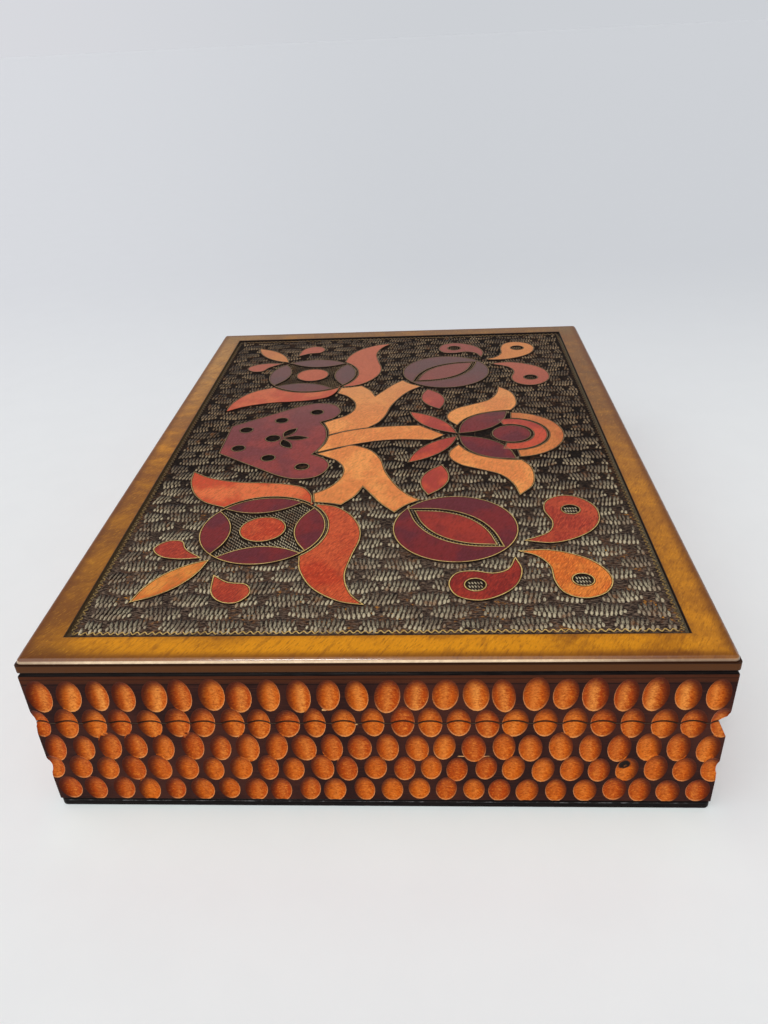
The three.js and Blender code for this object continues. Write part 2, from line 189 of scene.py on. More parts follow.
def giveMaterials(piece, materials, pick=None):
    piece.data.materials.clear()
    for material in materials:
        piece.data.materials.append(material)
    if pick:
        for face in piece.data.polygons:
            face.material_index = pick(face.center, face.normal)


def linear(red, green, blue):
    # a colour as it looks on the screen, 0 to 255, to the values that shaders use
    def one(value):
        share = value / 255
        return share / 12.92 if share <= 0.04045 else ((share + 0.055) / 1.055) ** 2.4
    return (one(red), one(green), one(blue), 1)


# Camera: the viewpoint of a phone held over the right end of the box
cameraSettings = {
    "place": (0.3170, 0.0186, 0.2100),
    "turnFromX": 3.99,
    "lookDown": 30.54,
    "roll": -2.93,
    "lens": 28.64,
}
turn = math.radians(cameraSettings["turnFromX"])
down = math.radians(cameraSettings["lookDown"])
lookAlong = Vector((
    -math.cos(turn) * math.cos(down), -math.sin(turn) * math.cos(down), -math.sin(down),
))
bpy.ops.object.camera_add(location=cameraSettings["place"])
camera = bpy.context.object
camera.name = "view_camera"
camera.rotation_mode = "QUATERNION"
camera.rotation_quaternion = (
    lookAlong.to_track_quat("-Z", "Y")
    @ Quaternion((0, 0, 1), math.radians(cameraSettings["roll"]))
)
camera.data.sensor_width = 36
camera.data.lens = cameraSettings["lens"]
camera.data.clip_start = 0.01
camera.data.clip_end = 100
bpy.context.scene.camera = camera
bpy.context.scene.view_settings.view_transform = "Standard"
print("camera placed")


# Materials
class Sheet:
    # a node tree, with short ways to add what the finishes and the studio share
    def __init__(self, tree):
        self.tree = tree

    def add(self, kind, **settings):
        node = self.tree.nodes.new(kind)
        for name, value in settings.items():
            setattr(node, name, value)
        return node

    def join(self, value, socket):
        if isinstance(value, bpy.types.NodeSocket):
            self.tree.links.new(value, socket)
        else:
            socket.default_value = value

    def fill(self, node, values):
        for name, value in values.items():
            self.join(value, node.inputs[name])
        return node

    def math(self, operation, a, b=0.0):
        node = self.add("ShaderNodeMath", operation=operation)
        self.join(a, node.inputs[0])
        self.join(b, node.inputs[1])
        return node.outputs[0]

    def times(self, a, b):
        return self.math("MULTIPLY", a, b)

    def plus(self, a, b):
        return self.math("ADD", a, b)

    def minus(self, a, b):
        return self.math("SUBTRACT", a, b)

    def apart(self, a, b=0.0):
        return self.math("ABSOLUTE", self.minus(a, b) if b else a)

    def distance(self, a, b):
        return self.math("SQRT", self.plus(self.times(a, a), self.times(b, b)))

    def ramp(self, value, low, high, toLow=0.0, toHigh=1.0):
        node = self.add("ShaderNodeMapRange", interpolation_type="SMOOTHSTEP")
        self.fill(node, {"Value": value, "From Min": low, "From Max": high,
                         "To Min": toLow, "To Max": toHigh})
        return node.outputs["Result"]

    def patch(self, *limits):
        # where all these ramps are high
        share = self.ramp(*limits[0])
        for others in limits[1:]:
            share = self.times(share, self.ramp(*others))
        return share

    def mix(self, share, a, b):
        # a tone of three numbers is as it looks on the screen
        a, b = (linear(*tone) if isinstance(tone, tuple) and len(tone) == 3 else tone for tone in (a, b))
        node = self.add("ShaderNodeMix", data_type="RGBA")
        return self.fill(node, {"Factor": share, "A": a, "B": b}).outputs["Result"]

    def split(self, vector):
        node = self.add("ShaderNodeSeparateXYZ")
        self.join(vector, node.inputs[0])
        return list(node.outputs)


class Finish(Sheet):
    # one material: its body is laid down first, and each tint goes over it
    def __init__(self, name):
        self.material = bpy.data.materials.new(name)
        self.material.use_nodes = True
        super().__init__(self.material.node_tree)
        self.shader = self.tree.nodes["Principled BSDF"]
        self.place = self.add("ShaderNodeTexCoord").outputs["Object"]
        self.body = None

    def axes(self):
        return [self.times(axis, 1 / mm) for axis in self.split(self.place)]

    def attribute(self, name):
        return self.add("ShaderNodeAttribute", attribute_name=name).outputs["Fac"]

    def scaled(self, x, y, z):
        # object coordinates times these, so that a texture's scale is per millimetre
        node = self.add("ShaderNodeMapping")
        self.fill(node, {"Vector": self.place, "Scale": (x / mm, y / mm, z / mm)})
        return node.outputs["Vector"]

    def noise(self, place, scale, detail=4, roughness=0.55, distortion=0):
        vector = self.scaled(*place) if isinstance(place, tuple) else place
        node = self.add("ShaderNodeTexNoise")
        self.fill(node, {"Vector": vector, "Scale": scale, "Detail": detail,
                         "Roughness": roughness, "Distortion": distortion})
        return node.outputs["Fac"]

    def slanted(self, along, across, scale, detail=5, roughness=0.65):
        # short flecks of the wood, which lie slanting across the board
        turned = self.add("ShaderNodeVectorRotate", rotation_type="Z_AXIS")
        self.fill(turned, {"Vector": self.scaled(1, 1, 1), "Angle": 0.5})
        stretched = self.add("ShaderNodeMapping")
        self.fill(stretched, {"Vector": turned.outputs["Vector"], "Scale": (along, across, 1)})
        return self.noise(stretched.outputs["Vector"], scale, detail, roughness)

    def tint(self, tone, share, *limits):
        # limits turn the share into a ramp
        share = self.ramp(share, *limits) if limits else share
        self.body = self.mix(share, self.body, tone)

    def bump(self, height, strength, distance):
        node = self.add("ShaderNodeBump")
        self.fill(node, {"Height": height, "Strength": strength, "Distance": distance})
        self.join(node.outputs["Normal"], self.shader.inputs["Normal"])

    def finish(self, texture, low, high, coat=0.0, coatRoughness=0.1, metallic=0.0, shine=0.3):
        # the roughness goes from low to high with the texture
        roughness = self.ramp(texture, 0.3, 0.7, low, high)
        self.fill(self.shader, {
            "Base Color": self.body, "Roughness": roughness, "Metallic": metallic,
            "Specular IOR Level": shine, "Coat Weight": coat, "Coat Roughness": coatRoughness,
        })
        return self.material


# Places that the finishes and the carving share
halfLength, halfWidth = round(cadBox[1][0] / mm, 2), round(cadBox[1][1] / mm, 2)
hingeAxis = Vector(frame["joints"][0]["pos_m"])
splitHeight = round(hingeAxis.z / mm, 2)
mirrorLine = -1.2
rosette = {"centre": (73.6, -41.8), "radius": 22.1, "petalTips": 40.5, "turns": (90, 188, 4, 275)}
tulip = {"centre": (mirrorLine, 52.6), "rings": (8.1, 9.5, 15.1, 16.1, 22.0)}
pomegranate = {"centre": (74.2, 26.3), "radius": 21.6}
eyes = {
    "comma_upper": ((63.2, 67.8), 3.3),
    "comma_outer": ((106.4, 65.2), 3.4),
    "comma_lower": ((108.5, 31.5), 3.4),
}

# How each stain looks: its main tone and the tone it drifts to
stains = {
    "orange": {"main": (236, 152, 78), "drift": (218, 126, 62)},
    "leafOrange": {"main": (206, 98, 28), "drift": (220, 124, 44)},
    "cornerLeaf": {"main": (224, 142, 58), "drift": (198, 100, 34)},
    "coral": {"main": (178, 52, 16), "drift": (194, 80, 38)},
    "red": {"main": (156, 46, 24), "drift": (182, 70, 36)},
    "redDark": {"main": (124, 22, 14), "drift": (150, 40, 22)},
    "crimson": {"main": (196, 76, 44), "drift": (160, 50, 38)},
    "pot": {"main": (140, 52, 46), "drift": (112, 44, 46)},
    "maroon": {"main": (118, 24, 24), "drift": (92, 22, 32)},
    "bow": {"main": (206, 122, 58), "drift": (186, 98, 46)},
    "heart": {"main": (156, 44, 26), "drift": (130, 34, 28)},
    "petal": {"main": (222, 112, 58), "drift": (190, 62, 24)},
}


def stainedWood(name, main, drift):
    sheet = Finish(name)
    x = sheet.axes()[0]
    flecks = sheet.slanted(0.42, 2.2, 1.25)
    ripples = sheet.slanted(0.3, 1.3, 0.95, 3, 0.6)
    streaks = sheet.noise((0.3, 0.9, 1.0), 0.5, 4, 0.6, 0.4)
    drifts = sheet.noise((1, 1, 1), 0.06, 3, 0.55)
    specks = sheet.noise((1, 1, 1), 1.5, 2, 0.5)
    sheet.body = sheet.mix(sheet.ramp(drifts, 0.42, 0.58), main, drift)
    darker = (*(0.5 * value for value in linear(*main)[:3]), 1)
    sheet.tint(darker, streaks, 0.5, 0.7, 0, 0.4)
    lighter = (*(min(1.0, 1.5 * value) for value in linear(*drift)[:3]), 1)
    sheet.tint(lighter, flecks, 0.48, 0.34, 0, 0.75)
    sheet.tint(darker, flecks, 0.52, 0.66, 0, 0.85)
    sheet.tint(darker, ripples, 0.52, 0.68, 0, 0.6)
    sheet.tint(lighter, specks, 0.7, 0.78, 0, 0.35)
    # a painted reflection: the stain turns paler and greyer towards the left end of the lid, as a haze of
    # reflected light on the varnish
    red, green, blue = linear(*drift)[:3]
    paintedHaze = (0.66 * red + 0.05, 0.74 * green + 0.068, 0.74 * blue + 0.052, 1)
    sheet.tint(paintedHaze, x, 12, -85, 0, 0.7)
    sheet.bump(flecks, 0.35, 0.00009)
    return sheet.finish(flecks, 0.42, 0.56, 0.1, 0.16, shine=0.16)


def amberWood():
    # the border: golden in its middle, browner towards its edges, dark in the step below
    sheet = Finish("amberWood")
    x, y, z = sheet.axes()
    flecks = sheet.slanted(0.4, 1.7, 1.1)
    streaks = sheet.slanted(0.16, 0.7, 0.8, 4, 0.6)
    figure = sheet.noise((0.6, 0.3, 0.6), 0.16, 4, 0.6, 0.6)
    pores = sheet.noise((1.2, 2.4, 2.4), 1.5, 3, 0.6)
    gold, brown = (214, 138, 12), (132, 75, 8)
    nearEnd = sheet.patch((x, 120, 138), (y, 92, 30, 0.45, 1.0), (y, -100, -84, 0.1, 1.0))
    warmth = sheet.plus(sheet.times(figure, 1.2), sheet.times(nearEnd, 0.34))
    sheet.body = sheet.mix(sheet.ramp(warmth, 0.44, 1.0), brown, gold)
    # the tone drifts from place to place
    for tone, share, *limits in (
        ((108, 78, 50), 0.75, (y, 60, 96), (x, 110, -60)),
        ((204, 132, 34), 0.4, (y, 86, 93), (x, -40, 60)),
        ((168, 132, 84), 0.6, (y, -60, -96), (x, 40, -120)),
        ((112, 88, 54), 0.6, (x, -124, -136)),
        ((116, 72, 24), 0.5, (y, -80, -94), (x, -20, 90)),
        ((98, 58, 16), 0.6, (y, -58, -90), (x, 135, 141)),
    ):
        sheet.tint(tone, sheet.times(sheet.patch(*limits), share))
    sheet.tint((108, 58, 10), flecks, 0.5, 0.7, 0, 0.6)
    sheet.tint((238, 168, 42), flecks, 0.46, 0.3, 0, 0.4)
    sheet.tint((116, 62, 12), streaks, 0.5, 0.7, 0, 0.45)
    sheet.tint((76, 40, 10), pores, 0.62, 0.76, 0, 0.5)
    outerX = sheet.minus(halfLength, sheet.apart(x))
    outerY = sheet.minus(halfWidth, sheet.apart(y))
    outer = sheet.math("MINIMUM", outerX, outerY)
    sheet.tint((98, 50, 10), outer, 4.9, 1.6, 0, 0.75)
    inner = sheet.minus(outer, sheet.times(figure, 1.5))
    sheet.tint((112, 66, 20), inner, 8.2, 10.4, 0, 0.35)
    # reddish brown on the round, a dark line of painted shade in the step, and a plain brown band under it
    sheet.tint((70, 34, 12), z, 59.5, 58.9, 0, 0.9)
    sheet.tint((84, 46, 12), z, 58.5, 58.2)
    step = sheet.patch((z, 57.9, 58.2), (z, 58.8, 58.45))
    sheet.tint((46, 22, 8), sheet.times(step, 0.92))
    sheet.tint((24, 14, 8), z, 56.0, 55.6, 0, 0.9)
    # the burnt line along the recess
    toPanelX = sheet.minus(outerX, 10.75)
    toPanelY = sheet.minus(outerY, 10.88)
    inward = sheet.math("MINIMUM", toPanelX, toPanelY)
    sheet.tint((20, 11, 8), inward, -0.06, 0.08, 0, 0.95)
    sheet.bump(sheet.plus(flecks, pores), 0.25, 0.00008)
    # a painted highlight: the edge is pale and smooth where the top rounds over
    paintedHighlight = sheet.patch((z, 58.65, 58.85), (z, 59.5, 59.3), (streaks, 0.3, 0.6, 1.0, 0.78),
                         (y, 40, 88, 0.95, 0.22), (y, -100, -76, 0.5, 1.0))
    sheet.tint((254, 226, 188), paintedHighlight)
    edge = sheet.patch((z, 58.6, 58.9), (outer, 1.75, 1.25), (x, 138, 141.5, 0.3, 1.0))
    coat = sheet.plus(sheet.times(edge, 0.85), sheet.ramp(z, 58.4, 58.6, 0.02, 0.1))
    return sheet.finish(pores, 0.36, 0.5, coat, 0.12, shine=0.11)


# where the stain of the ground lies darkest: middle and radius of each spot, mirrored left to right
darkSpots = [(rosette["centre"], 21.6), (pomegranate["centre"], 21)]
darkSpots += [(eye[0], 3.6) for eye in eyes.values()]


def panelGround():
    # the ground between the figures: brown fibres, darker to the left as painted shade, with rust and ochre
    # in places
    sheet = Finish("panelGround")
    x, y, z = sheet.axes()
    fibres = sheet.noise((1.9, 0.42, 1), 1.3, 4, 0.62)
    fine = sheet.noise((2.4, 0.8, 1), 1.9, 3, 0.65)
    patches = sheet.noise((1, 1, 1), 0.07, 3, 0.6)
    specks = sheet.noise((1.6, 0.8, 1), 0.7, 3, 0.6)
    # painted shade: the ground and its pale fibres darken towards the left end
    near = sheet.ramp(x, 15, 112)
    base = sheet.mix(near, (27, 22, 19), (74, 60, 52))
    sheet.body = sheet.mix(sheet.ramp(fine, 0.38, 0.62), (20, 15, 14), base)
    worn = sheet.mix(near, (50, 41, 34), (128, 108, 92))
    sheet.tint(worn, fibres, 0.48, 0.62, 0, 0.9)
    sheet.tint((24, 18, 22), fibres, 0.46, 0.36, 0, 0.75)
    rust = sheet.patch((patches, 0.42, 0.6), (specks, 0.46, 0.66), (x, -20, 60, 0.25, 0.65))
    sheet.tint((114, 78, 56), rust)
    amber = sheet.patch((patches, 0.52, 0.62), (specks, 0.62, 0.7), (x, 20, 80, 0, 0.9))
    sheet.tint((206, 140, 50), amber)
    mirroredX = sheet.plus(sheet.apart(x, mirrorLine), mirrorLine)
    for (middleX, middleY), radius in darkSpots:
        away = sheet.distance(sheet.minus(mirroredX, middleX), sheet.minus(y, middleY))
        sheet.tint((24, 21, 16), away, radius + 0.2, radius - 0.2, 0, 0.75)
    # a smooth strip runs round just inside the recess, with painted light and shade on its slope: pale grey
    # along the back, brown along the front, dark along the ends, darkest at the far end
    strip = sheet.math("MINIMUM", sheet.minus(133, sheet.apart(x)), sheet.minus(90.9, sheet.apart(y)))
    stripTone = sheet.mix(sheet.ramp(y, 85, 89.9), (44, 40, 34), (104, 94, 76))
    stripTone = sheet.mix(sheet.ramp(y, -88, -90), stripTone, (92, 74, 50))
    burnt = sheet.patch((z, 59.5, 59.68), (y, -90, -87, 0.4, 1.0))
    stripTone = sheet.mix(burnt, stripTone, (24, 17, 13))
    stripTone = sheet.mix(sheet.ramp(x, -120, -131), stripTone, (30, 24, 22))
    stripTone = sheet.mix(sheet.ramp(fine, 0.4, 0.65, 0, 0.6), stripTone, (36, 28, 24))
    sheet.tint(stripTone, strip, 1.25, 1.05, 0, 0.95)
    sheet.bump(sheet.plus(fibres, fine), 0.9, 0.0004)
    return sheet.finish(fine, 0.65, 0.85, shine=0.03)


def stampedRidge():
    # the ridges that the punch left, paler on their tops and at their near ends, and darker to the left as
    # painted shade
    sheet = Finish("stampedRidge")
    x = sheet.axes()[0]
    along = sheet.attribute("worn")
    patches = sheet.noise((1, 1, 1), 0.1, 3, 0.6)
    fine = sheet.noise((1, 1, 1), 1.8, 3, 0.6)
    pale = sheet.mix(sheet.ramp(patches, 0.4, 0.6), (194, 180, 150), (148, 130, 108))
    # painted shade: the ridges darken towards the left end
    shadedLeftTone = sheet.mix(sheet.ramp(patches, 0.4, 0.6), (142, 118, 90), (92, 74, 56))
    pale = sheet.mix(sheet.ramp(x, -30, 100), shadedLeftTone, pale)
    worn = sheet.times(along, sheet.ramp(fine, 0.3, 0.55, 0.45, 1.0))
    sheet.body = sheet.mix(sheet.ramp(worn, 0.1, 0.95), (22, 17, 17), pale)
    ochre = sheet.noise((1, 1, 1), 0.2, 3, 0.6)
    sheet.tint((130, 84, 46), ochre, 0.58, 0.7, 0, 0.5)
    sheet.bump(fine, 0.4, 0.0001)
    return sheet.finish(fine, 0.45, 0.65, 0.04, 0.25, shine=0.1)


def paleLine():
    # bright at the right end, dull elsewhere
    sheet = Finish("paleLine")
    x, y = sheet.axes()[:2]
    fine = sheet.noise((1, 1, 1), 1.4, 3, 0.6)
    long = sheet.noise((1, 1, 1), 0.12, 2, 0.5)
    bright = sheet.mix(sheet.ramp(fine, 0.3, 0.7), (186, 148, 78), (226, 192, 120))
    dull = sheet.mix(sheet.ramp(fine, 0.3, 0.7), (92, 70, 44), (146, 118, 80))
    sheet.body = sheet.mix(sheet.ramp(x, 0, 110), dull, bright)
    aside = sheet.ramp(sheet.apart(y), 87, 88.6)
    aside = sheet.times(aside, sheet.ramp(fine, 0.35, 0.6, 0.25, 0.9))
    sheet.tint((66, 54, 40), aside)
    sheet.tint((112, 80, 42), long, 0.5, 0.72, 0, 0.5)
    sheet.bump(fine, 0.3, 0.0001)
    return sheet.finish(fine, 0.4, 0.55, 0.06, 0.2, shine=0.2)


def burntAndShadedWalls():
    # the walls beside each line and round each figure: partly a burnt line, and partly painted shade
    sheet = Finish("burntAndShadedWalls")
    fine = sheet.noise((1, 1, 1), 1.5, 3, 0.6)
    sheet.body = sheet.mix(sheet.ramp(fine, 0.3, 0.7), (26, 18, 16), (58, 42, 34))
    sheet.bump(fine, 0.3, 0.0001)
    return sheet.finish(fine, 0.5, 0.7, shine=0.2)


# small splinters broken out of the side: where they lie, and how far they reach along Y and Z
chips = [
    {"place": (143.9, -7.4, 35.4), "reach": (3.2, 0.26)},
    {"place": (143.9, 29.6, 22.3), "reach": (4.6, 0.2)},
    {"place": (143.9, -13.8, 41.2), "reach": (0.7, 0.36)},
    {"place": (143.9, -99.6, 36.4), "reach": (1.4, 0.6)},
]


def sideStain():
    # the dark stain left between the scoops, thinner along the top
    sheet = Finish("sideStain")
    x, y, z = sheet.axes()
    grain = sheet.noise((0.05, 0.05, 1.3), 1.4, 5, 0.6)
    fine = sheet.noise((0.4, 0.4, 2.4), 1.8, 3, 0.6)
    patches = sheet.noise((1, 1, 1), 0.035, 3, 0.6)
    sheet.body = sheet.mix(sheet.ramp(patches, 0.35, 0.65), (42, 20, 18), (68, 34, 26))
    sheet.tint((84, 42, 18), z, 50.5, 52.5, 0, 0.6)
    sheet.tint((84, 46, 32), grain, 0.52, 0.75, 0, 0.5)
    sheet.tint((22, 11, 12), fine, 0.55, 0.75, 0, 0.5)
    # painted shade along the gap between the lid and the base
    parting = sheet.apart(z, splitHeight)
    sheet.tint((14, 7, 6), parting, 0.42, 0.24, 0, 0.95)
    # two lines were scribed along the tops of the upper scoops
    for height, width in ((51.1, 0.12), (53.0, 0.07)):
        scribed = sheet.apart(z, height)
        sheet.tint((16, 7, 6), scribed, width * 2.2, width, 0, 0.8)
    for chip in chips:
        (cx, cy, cz), (reachY, reachZ) = chip["place"], chip["reach"]
        awayY = sheet.math("DIVIDE", sheet.apart(y, cy), reachY)
        awayZ = sheet.math("DIVIDE", sheet.apart(z, cz), reachZ)
        away = sheet.plus(sheet.math("MAXIMUM", awayY, awayZ), sheet.times(fine, 0.9))
        away = sheet.plus(away, sheet.apart(x, cx))
        sheet.tint((214, 160, 104), away, 1.5, 1.3)
    sheet.bump(sheet.plus(grain, fine), 0.3, 0.0001)
    return sheet.finish(fine, 0.42, 0.56, 0.03, 0.2, shine=0.05)


# a knot in one scoop, with a pale splinter in it: place, radius and tone of each
knot = [((142.6, 74.4, 18.4), 2.3, (22, 12, 8)), ((142.6, 74.9, 17.6), 0.7, (168, 100, 44))]


def scoopWood():
    # bare wood in the gouge cuts, with painted shade over the rim that lies away from the middle, and
    # painted highlights down the middle and on the lower lip
    sheet = Finish("scoopWood")
    across, along = sheet.attribute("across"), sheet.attribute("along")
    tone, sheen, lean = sheet.attribute("tone"), sheet.attribute("sheen"), sheet.attribute("lean")
    grain = sheet.noise((0.16, 0.16, 1.1), 1.6, 5, 0.6)
    mottle = sheet.noise((1.1, 1.1, 1.9), 1.0, 4, 0.7)
    dots = sheet.noise((2.2, 2.2, 2.2), 1.9, 2, 0.6)
    sheet.body = sheet.mix(tone, (176, 66, 4), (204, 96, 14))
    sheet.tint((132, 44, 2), mottle, 0.5, 0.66, 0, 0.7)
    sheet.tint((240, 144, 44), mottle, 0.47, 0.32, 0, 0.6)
    sheet.tint((142, 50, 4), grain, 0.52, 0.72, 0, 0.45)
    sheet.tint((88, 30, 4), dots, 0.64, 0.74, 0, 0.6)
    # a painted highlight: a pale streak down the middle of each scoop, as strong as its sheen
    wavering = sheet.minus(across, sheet.times(lean, 0.15))
    wavering = sheet.plus(wavering, sheet.times(sheet.minus(mottle, 0.5), 0.5))
    streak = sheet.ramp(sheet.apart(wavering), 0.62, 0.0)
    streak = sheet.times(streak, sheet.ramp(along, 0.95, 0.2))
    streak = sheet.times(streak, sheet.ramp(mottle, 0.66, 0.4, 0.35, 1.0))
    sheet.tint((246, 164, 76), sheet.times(streak, sheen))
    # the painted shade: how far the point lies from a middle that is moved down and inward
    fromMiddle = sheet.minus(across, sheet.times(lean, 0.34))
    fromBelow = sheet.plus(along, 0.24)
    shade = sheet.distance(fromMiddle, fromBelow)
    sheet.tint((70, 22, 6), shade, 0.5, 1.3, 0, 0.95)
    radial = sheet.distance(across, along)
    # a painted highlight: a pale line just inside the rim, where the painted shade is light
    rim = sheet.patch((radial, 0.9, 0.95), (radial, 1.01, 0.98), (shade, 1.1, 0.75),
                      (mottle, 0.36, 0.6, 0.1, 0.6))
    sheet.tint((240, 172, 108), rim)
    sheet.tint((52, 20, 12), radial, 0.99, 1.04, 0, 0.9)
    # painted shade along the gap between the lid and the base
    parting = sheet.apart(sheet.axes()[2], splitHeight)
    sheet.tint((24, 10, 6), parting, 0.42, 0.24, 0, 0.95)
    for spot, radius, stain in knot:
        away = sheet.add("ShaderNodeVectorMath", operation="DISTANCE")
        sheet.join(sheet.scaled(1, 1, 1), away.inputs[0])
        sheet.join(spot, away.inputs[1])
        ragged = sheet.plus(away.outputs["Value"], sheet.times(mottle, 1.4))
        sheet.tint(stain, ragged, radius + 0.7, radius + 0.1)
    sheet.bump(sheet.plus(grain, mottle), 0.4, 0.00014)
    return sheet.finish(mottle, 0.4, 0.55, 0.04, 0.15, shine=0.06)


def insideWood():
    sheet = Finish("insideWood")
    grain = sheet.noise((0.03, 0.5, 0.9), 1.2, 6, 0.6, 0.3)
    pores = sheet.noise((0.25, 2.6, 2.6), 1.4, 3, 0.6)
    sheet.body = sheet.mix(sheet.ramp(grain, 0.3, 0.72), (214, 178, 128), (178, 132, 84))
    sheet.tint((140, 98, 58), pores, 0.56, 0.76, 0, 0.5)
    # stain has soaked into the rims from outside
    x, y = sheet.axes()[:2]
    fromFace = sheet.math("MINIMUM", sheet.minus(143.9, sheet.apart(x)), sheet.minus(101.9, sheet.apart(y)))
    soaked = sheet.plus(fromFace, sheet.times(grain, 1.5))
    sheet.tint((44, 20, 14), soaked, 4.2, 2.6, 0, 0.92)
    sheet.bump(sheet.plus(grain, pores), 0.25, 0.0001)
    return sheet.finish(pores, 0.5, 0.64, 0.1, 0.3)


def blackLacquer():
    sheet = Finish("blackLacquer")
    brushed = sheet.noise((0.12, 0.12, 2), 1.2, 3, 0.6)
    worn = sheet.noise((1, 1, 1), 0.9, 4, 0.7)
    sheet.body = sheet.mix(sheet.ramp(brushed, 0.3, 0.7), (12, 10, 11), (28, 22, 20))
    sheet.tint((88, 62, 44), worn, 0.7, 0.76, 0, 0.8)
    # a painted highlight: a broken pale line along the top edge of each black piece, where the light
    # catches it
    z = sheet.axes()[2]
    glints = sheet.noise((0.35, 0.35, 1), 0.8, 4, 0.75)
    for height, width, strongest in ((55.1, 0.16, 0.5), (2.3, 0.26, 0.5)):
        near = sheet.ramp(sheet.apart(z, height), width, width * 0.4)
        near = sheet.times(near, sheet.ramp(glints, 0.5, 0.66, 0.04, strongest))
        sheet.tint((150, 150, 152), near)
    sheet.bump(brushed, 0.3, 0.0002)
    return sheet.finish(brushed, 0.22, 0.36, 0.02, 0.08, shine=0.03)


def metal(name, bright, dull, roughness):
    sheet = Finish(name)
    brushed = sheet.noise((0.3, 3, 3), 2.2, 4, 0.6)
    tarnish = sheet.noise((1, 1, 1), 0.5, 4, 0.65)
    sheet.body = sheet.mix(sheet.ramp(tarnish, 0.45, 0.7, 0, 0.8), bright, dull)
    sheet.bump(brushed, 0.2, 0.00005)
    return sheet.finish(tarnish, roughness, roughness + 0.2, metallic=1.0)


finishes = {name: stainedWood(name, **look) for name, look in stains.items()}
finishes.update({
    "amber": amberWood(),
    "ground": panelGround(),
    "ridge": stampedRidge(),
    "line": paleLine(),
    "slit": burntAndShadedWalls(),
    "side": sideStain(),
    "scoop": scoopWood(),
    "inside": insideWood(),
    "black": blackLacquer(),
    "brass": metal("agedBrass", (206, 168, 92), (128, 96, 52), 0.28),
    "steel": metal("pinSteel", (176, 172, 166), (104, 98, 92), 0.3),
})
print("materials made:", len(finishes))

# Walls: cut from blocks, bevelled, then gouged
wallSettings = {
    "lidSlope": 40,
    "baseSlope": 64,
    "chamferDepth": 1.0,
    "chamferHeight": 1.3,
    "softEdge": 0.22,
}
scoopSettings = {
    "rows": [
        {"z": 46.7, "height": 12.6, "width": 7.3, "endGap": 4.5, "sheen": 0.62},
        {"z": 36.0, "height": 11.8, "width": 7.1, "endGap": 1.6, "sheen": 0.3},
        {"z": 26.1, "height": 11.3, "width": 7.1, "endGap": 4.2, "sheen": 0.3},
        {"z": 17.1, "height": 10.7, "width": 6.9, "endGap": 1.6, "sheen": 0.2},
        {"z": 8.0, "height": 10.2, "width": 6.9, "endGap": 4.6, "sheen": 0.2},
    ],
    "pitch": 8.4,
    "depth": 1.05,
    "capAngle": 44,
    "jitter": 0.5,
    "tilt": 7,
    "clearOfEnd": 2.1,
}
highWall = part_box("base_right_wall")[1]
wallHalfLength, wallHalfWidth = highWall.x, highWall.y
alongX, alongY = Vector((1, 0, 0)), Vector((0, 1, 0))
sides = {
    "front": {"out": -alongY, "along": alongX, "half": wallHalfLength, "reach": wallHalfWidth},
    "back": {"out": alongY, "along": alongX, "half": wallHalfLength, "reach": wallHalfWidth},
    "left": {"out": -alongX, "along": alongY, "half": wallHalfWidth, "reach": wallHalfLength},
    "right": {"out": alongX, "along": alongY, "half": wallHalfWidth, "reach": wallHalfLength},
}


def makeScoopCutter():
    # the cap of a ball that points into the wood, closed just outside the face
    deselectAll()
    bpy.ops.mesh.primitive_uv_sphere_add(segments=20, ring_count=18, radius=1)
    cutter = bpy.context.object
    cutter.name = "scoop_cutter"
    height = math.cos(math.radians(scoopSettings["capAngle"])) - 0.09
    sliceOff(cutter, (0, 0, height), (0, 0, -1))
    cutter.data.transform(Matrix.Translation((0, 0, -1)))
    giveMaterials(cutter, wallFinishes, lambda centre, normal: 1)
    return cutter


def scoopPlaces():
    # every scoop of the four sides, row by row, set out by hand and so a little uneven
    chance = random.Random(11)
    places = []
    for side, face in sides.items():
        # along the front and back the rows stop short of the corners
        short = scoopSettings["clearOfEnd"] if side in ("front", "back") else 0
        for row, settings in enumerate(scoopSettings["rows"]):
            span = 2 * (face["half"] / mm - settings["endGap"] - short)
            steps = round(span / scoopSettings["pitch"])
            for step in range(steps + 1):
                loose = scoopSettings["jitter"]
                along = -span / 2 + span * step / steps
                if 0 < step < steps:
                    along += chance.uniform(-loose, loose)
                places.append({
                    "side": side,
                    "row": row,
                    "along": along,
                    "z": settings["z"] + chance.uniform(-loose, loose),
                    "width": settings["width"] * chance.uniform(0.92, 1.08),
                    "height": settings["height"] * chance.uniform(0.93, 1.05),
                    "depth": scoopSettings["depth"] * chance.uniform(0.9, 1.12),
                    "tilt": chance.uniform(-scoopSettings["tilt"], scoopSettings["tilt"]),
                    "tone": chance.uniform(0, 1),
                    "sheen": settings["sheen"] * chance.uniform(0.5, 1.2),
                })
    return places


def scoopMatrix(scoop):
    face = sides[scoop["side"]]
    angle = math.radians(scoopSettings["capAngle"])
    centre = face["out"] * face["reach"] + face["along"] * scoop["along"] * mm
    centre += Vector((0, 0, scoop["z"] * mm))
    inward = -face["out"]
    up = Quaternion(face["out"], math.radians(scoop["tilt"])) @ Vector((0, 0, 1))
    across = up.cross(inward)
    stretch = (
        scoop["width"] * mm / 2 / math.sin(angle),
        scoop["height"] * mm / 2 / math.sin(angle),
        scoop["depth"] * mm / (1 - math.cos(angle)),
    )
    turned = Matrix((across, up, inward)).transposed().to_4x4()
    deepest = centre + inward * scoop["depth"] * mm
    return Matrix.Translation(deepest) @ turned @ Matrix.Diagonal((*stretch, 1))


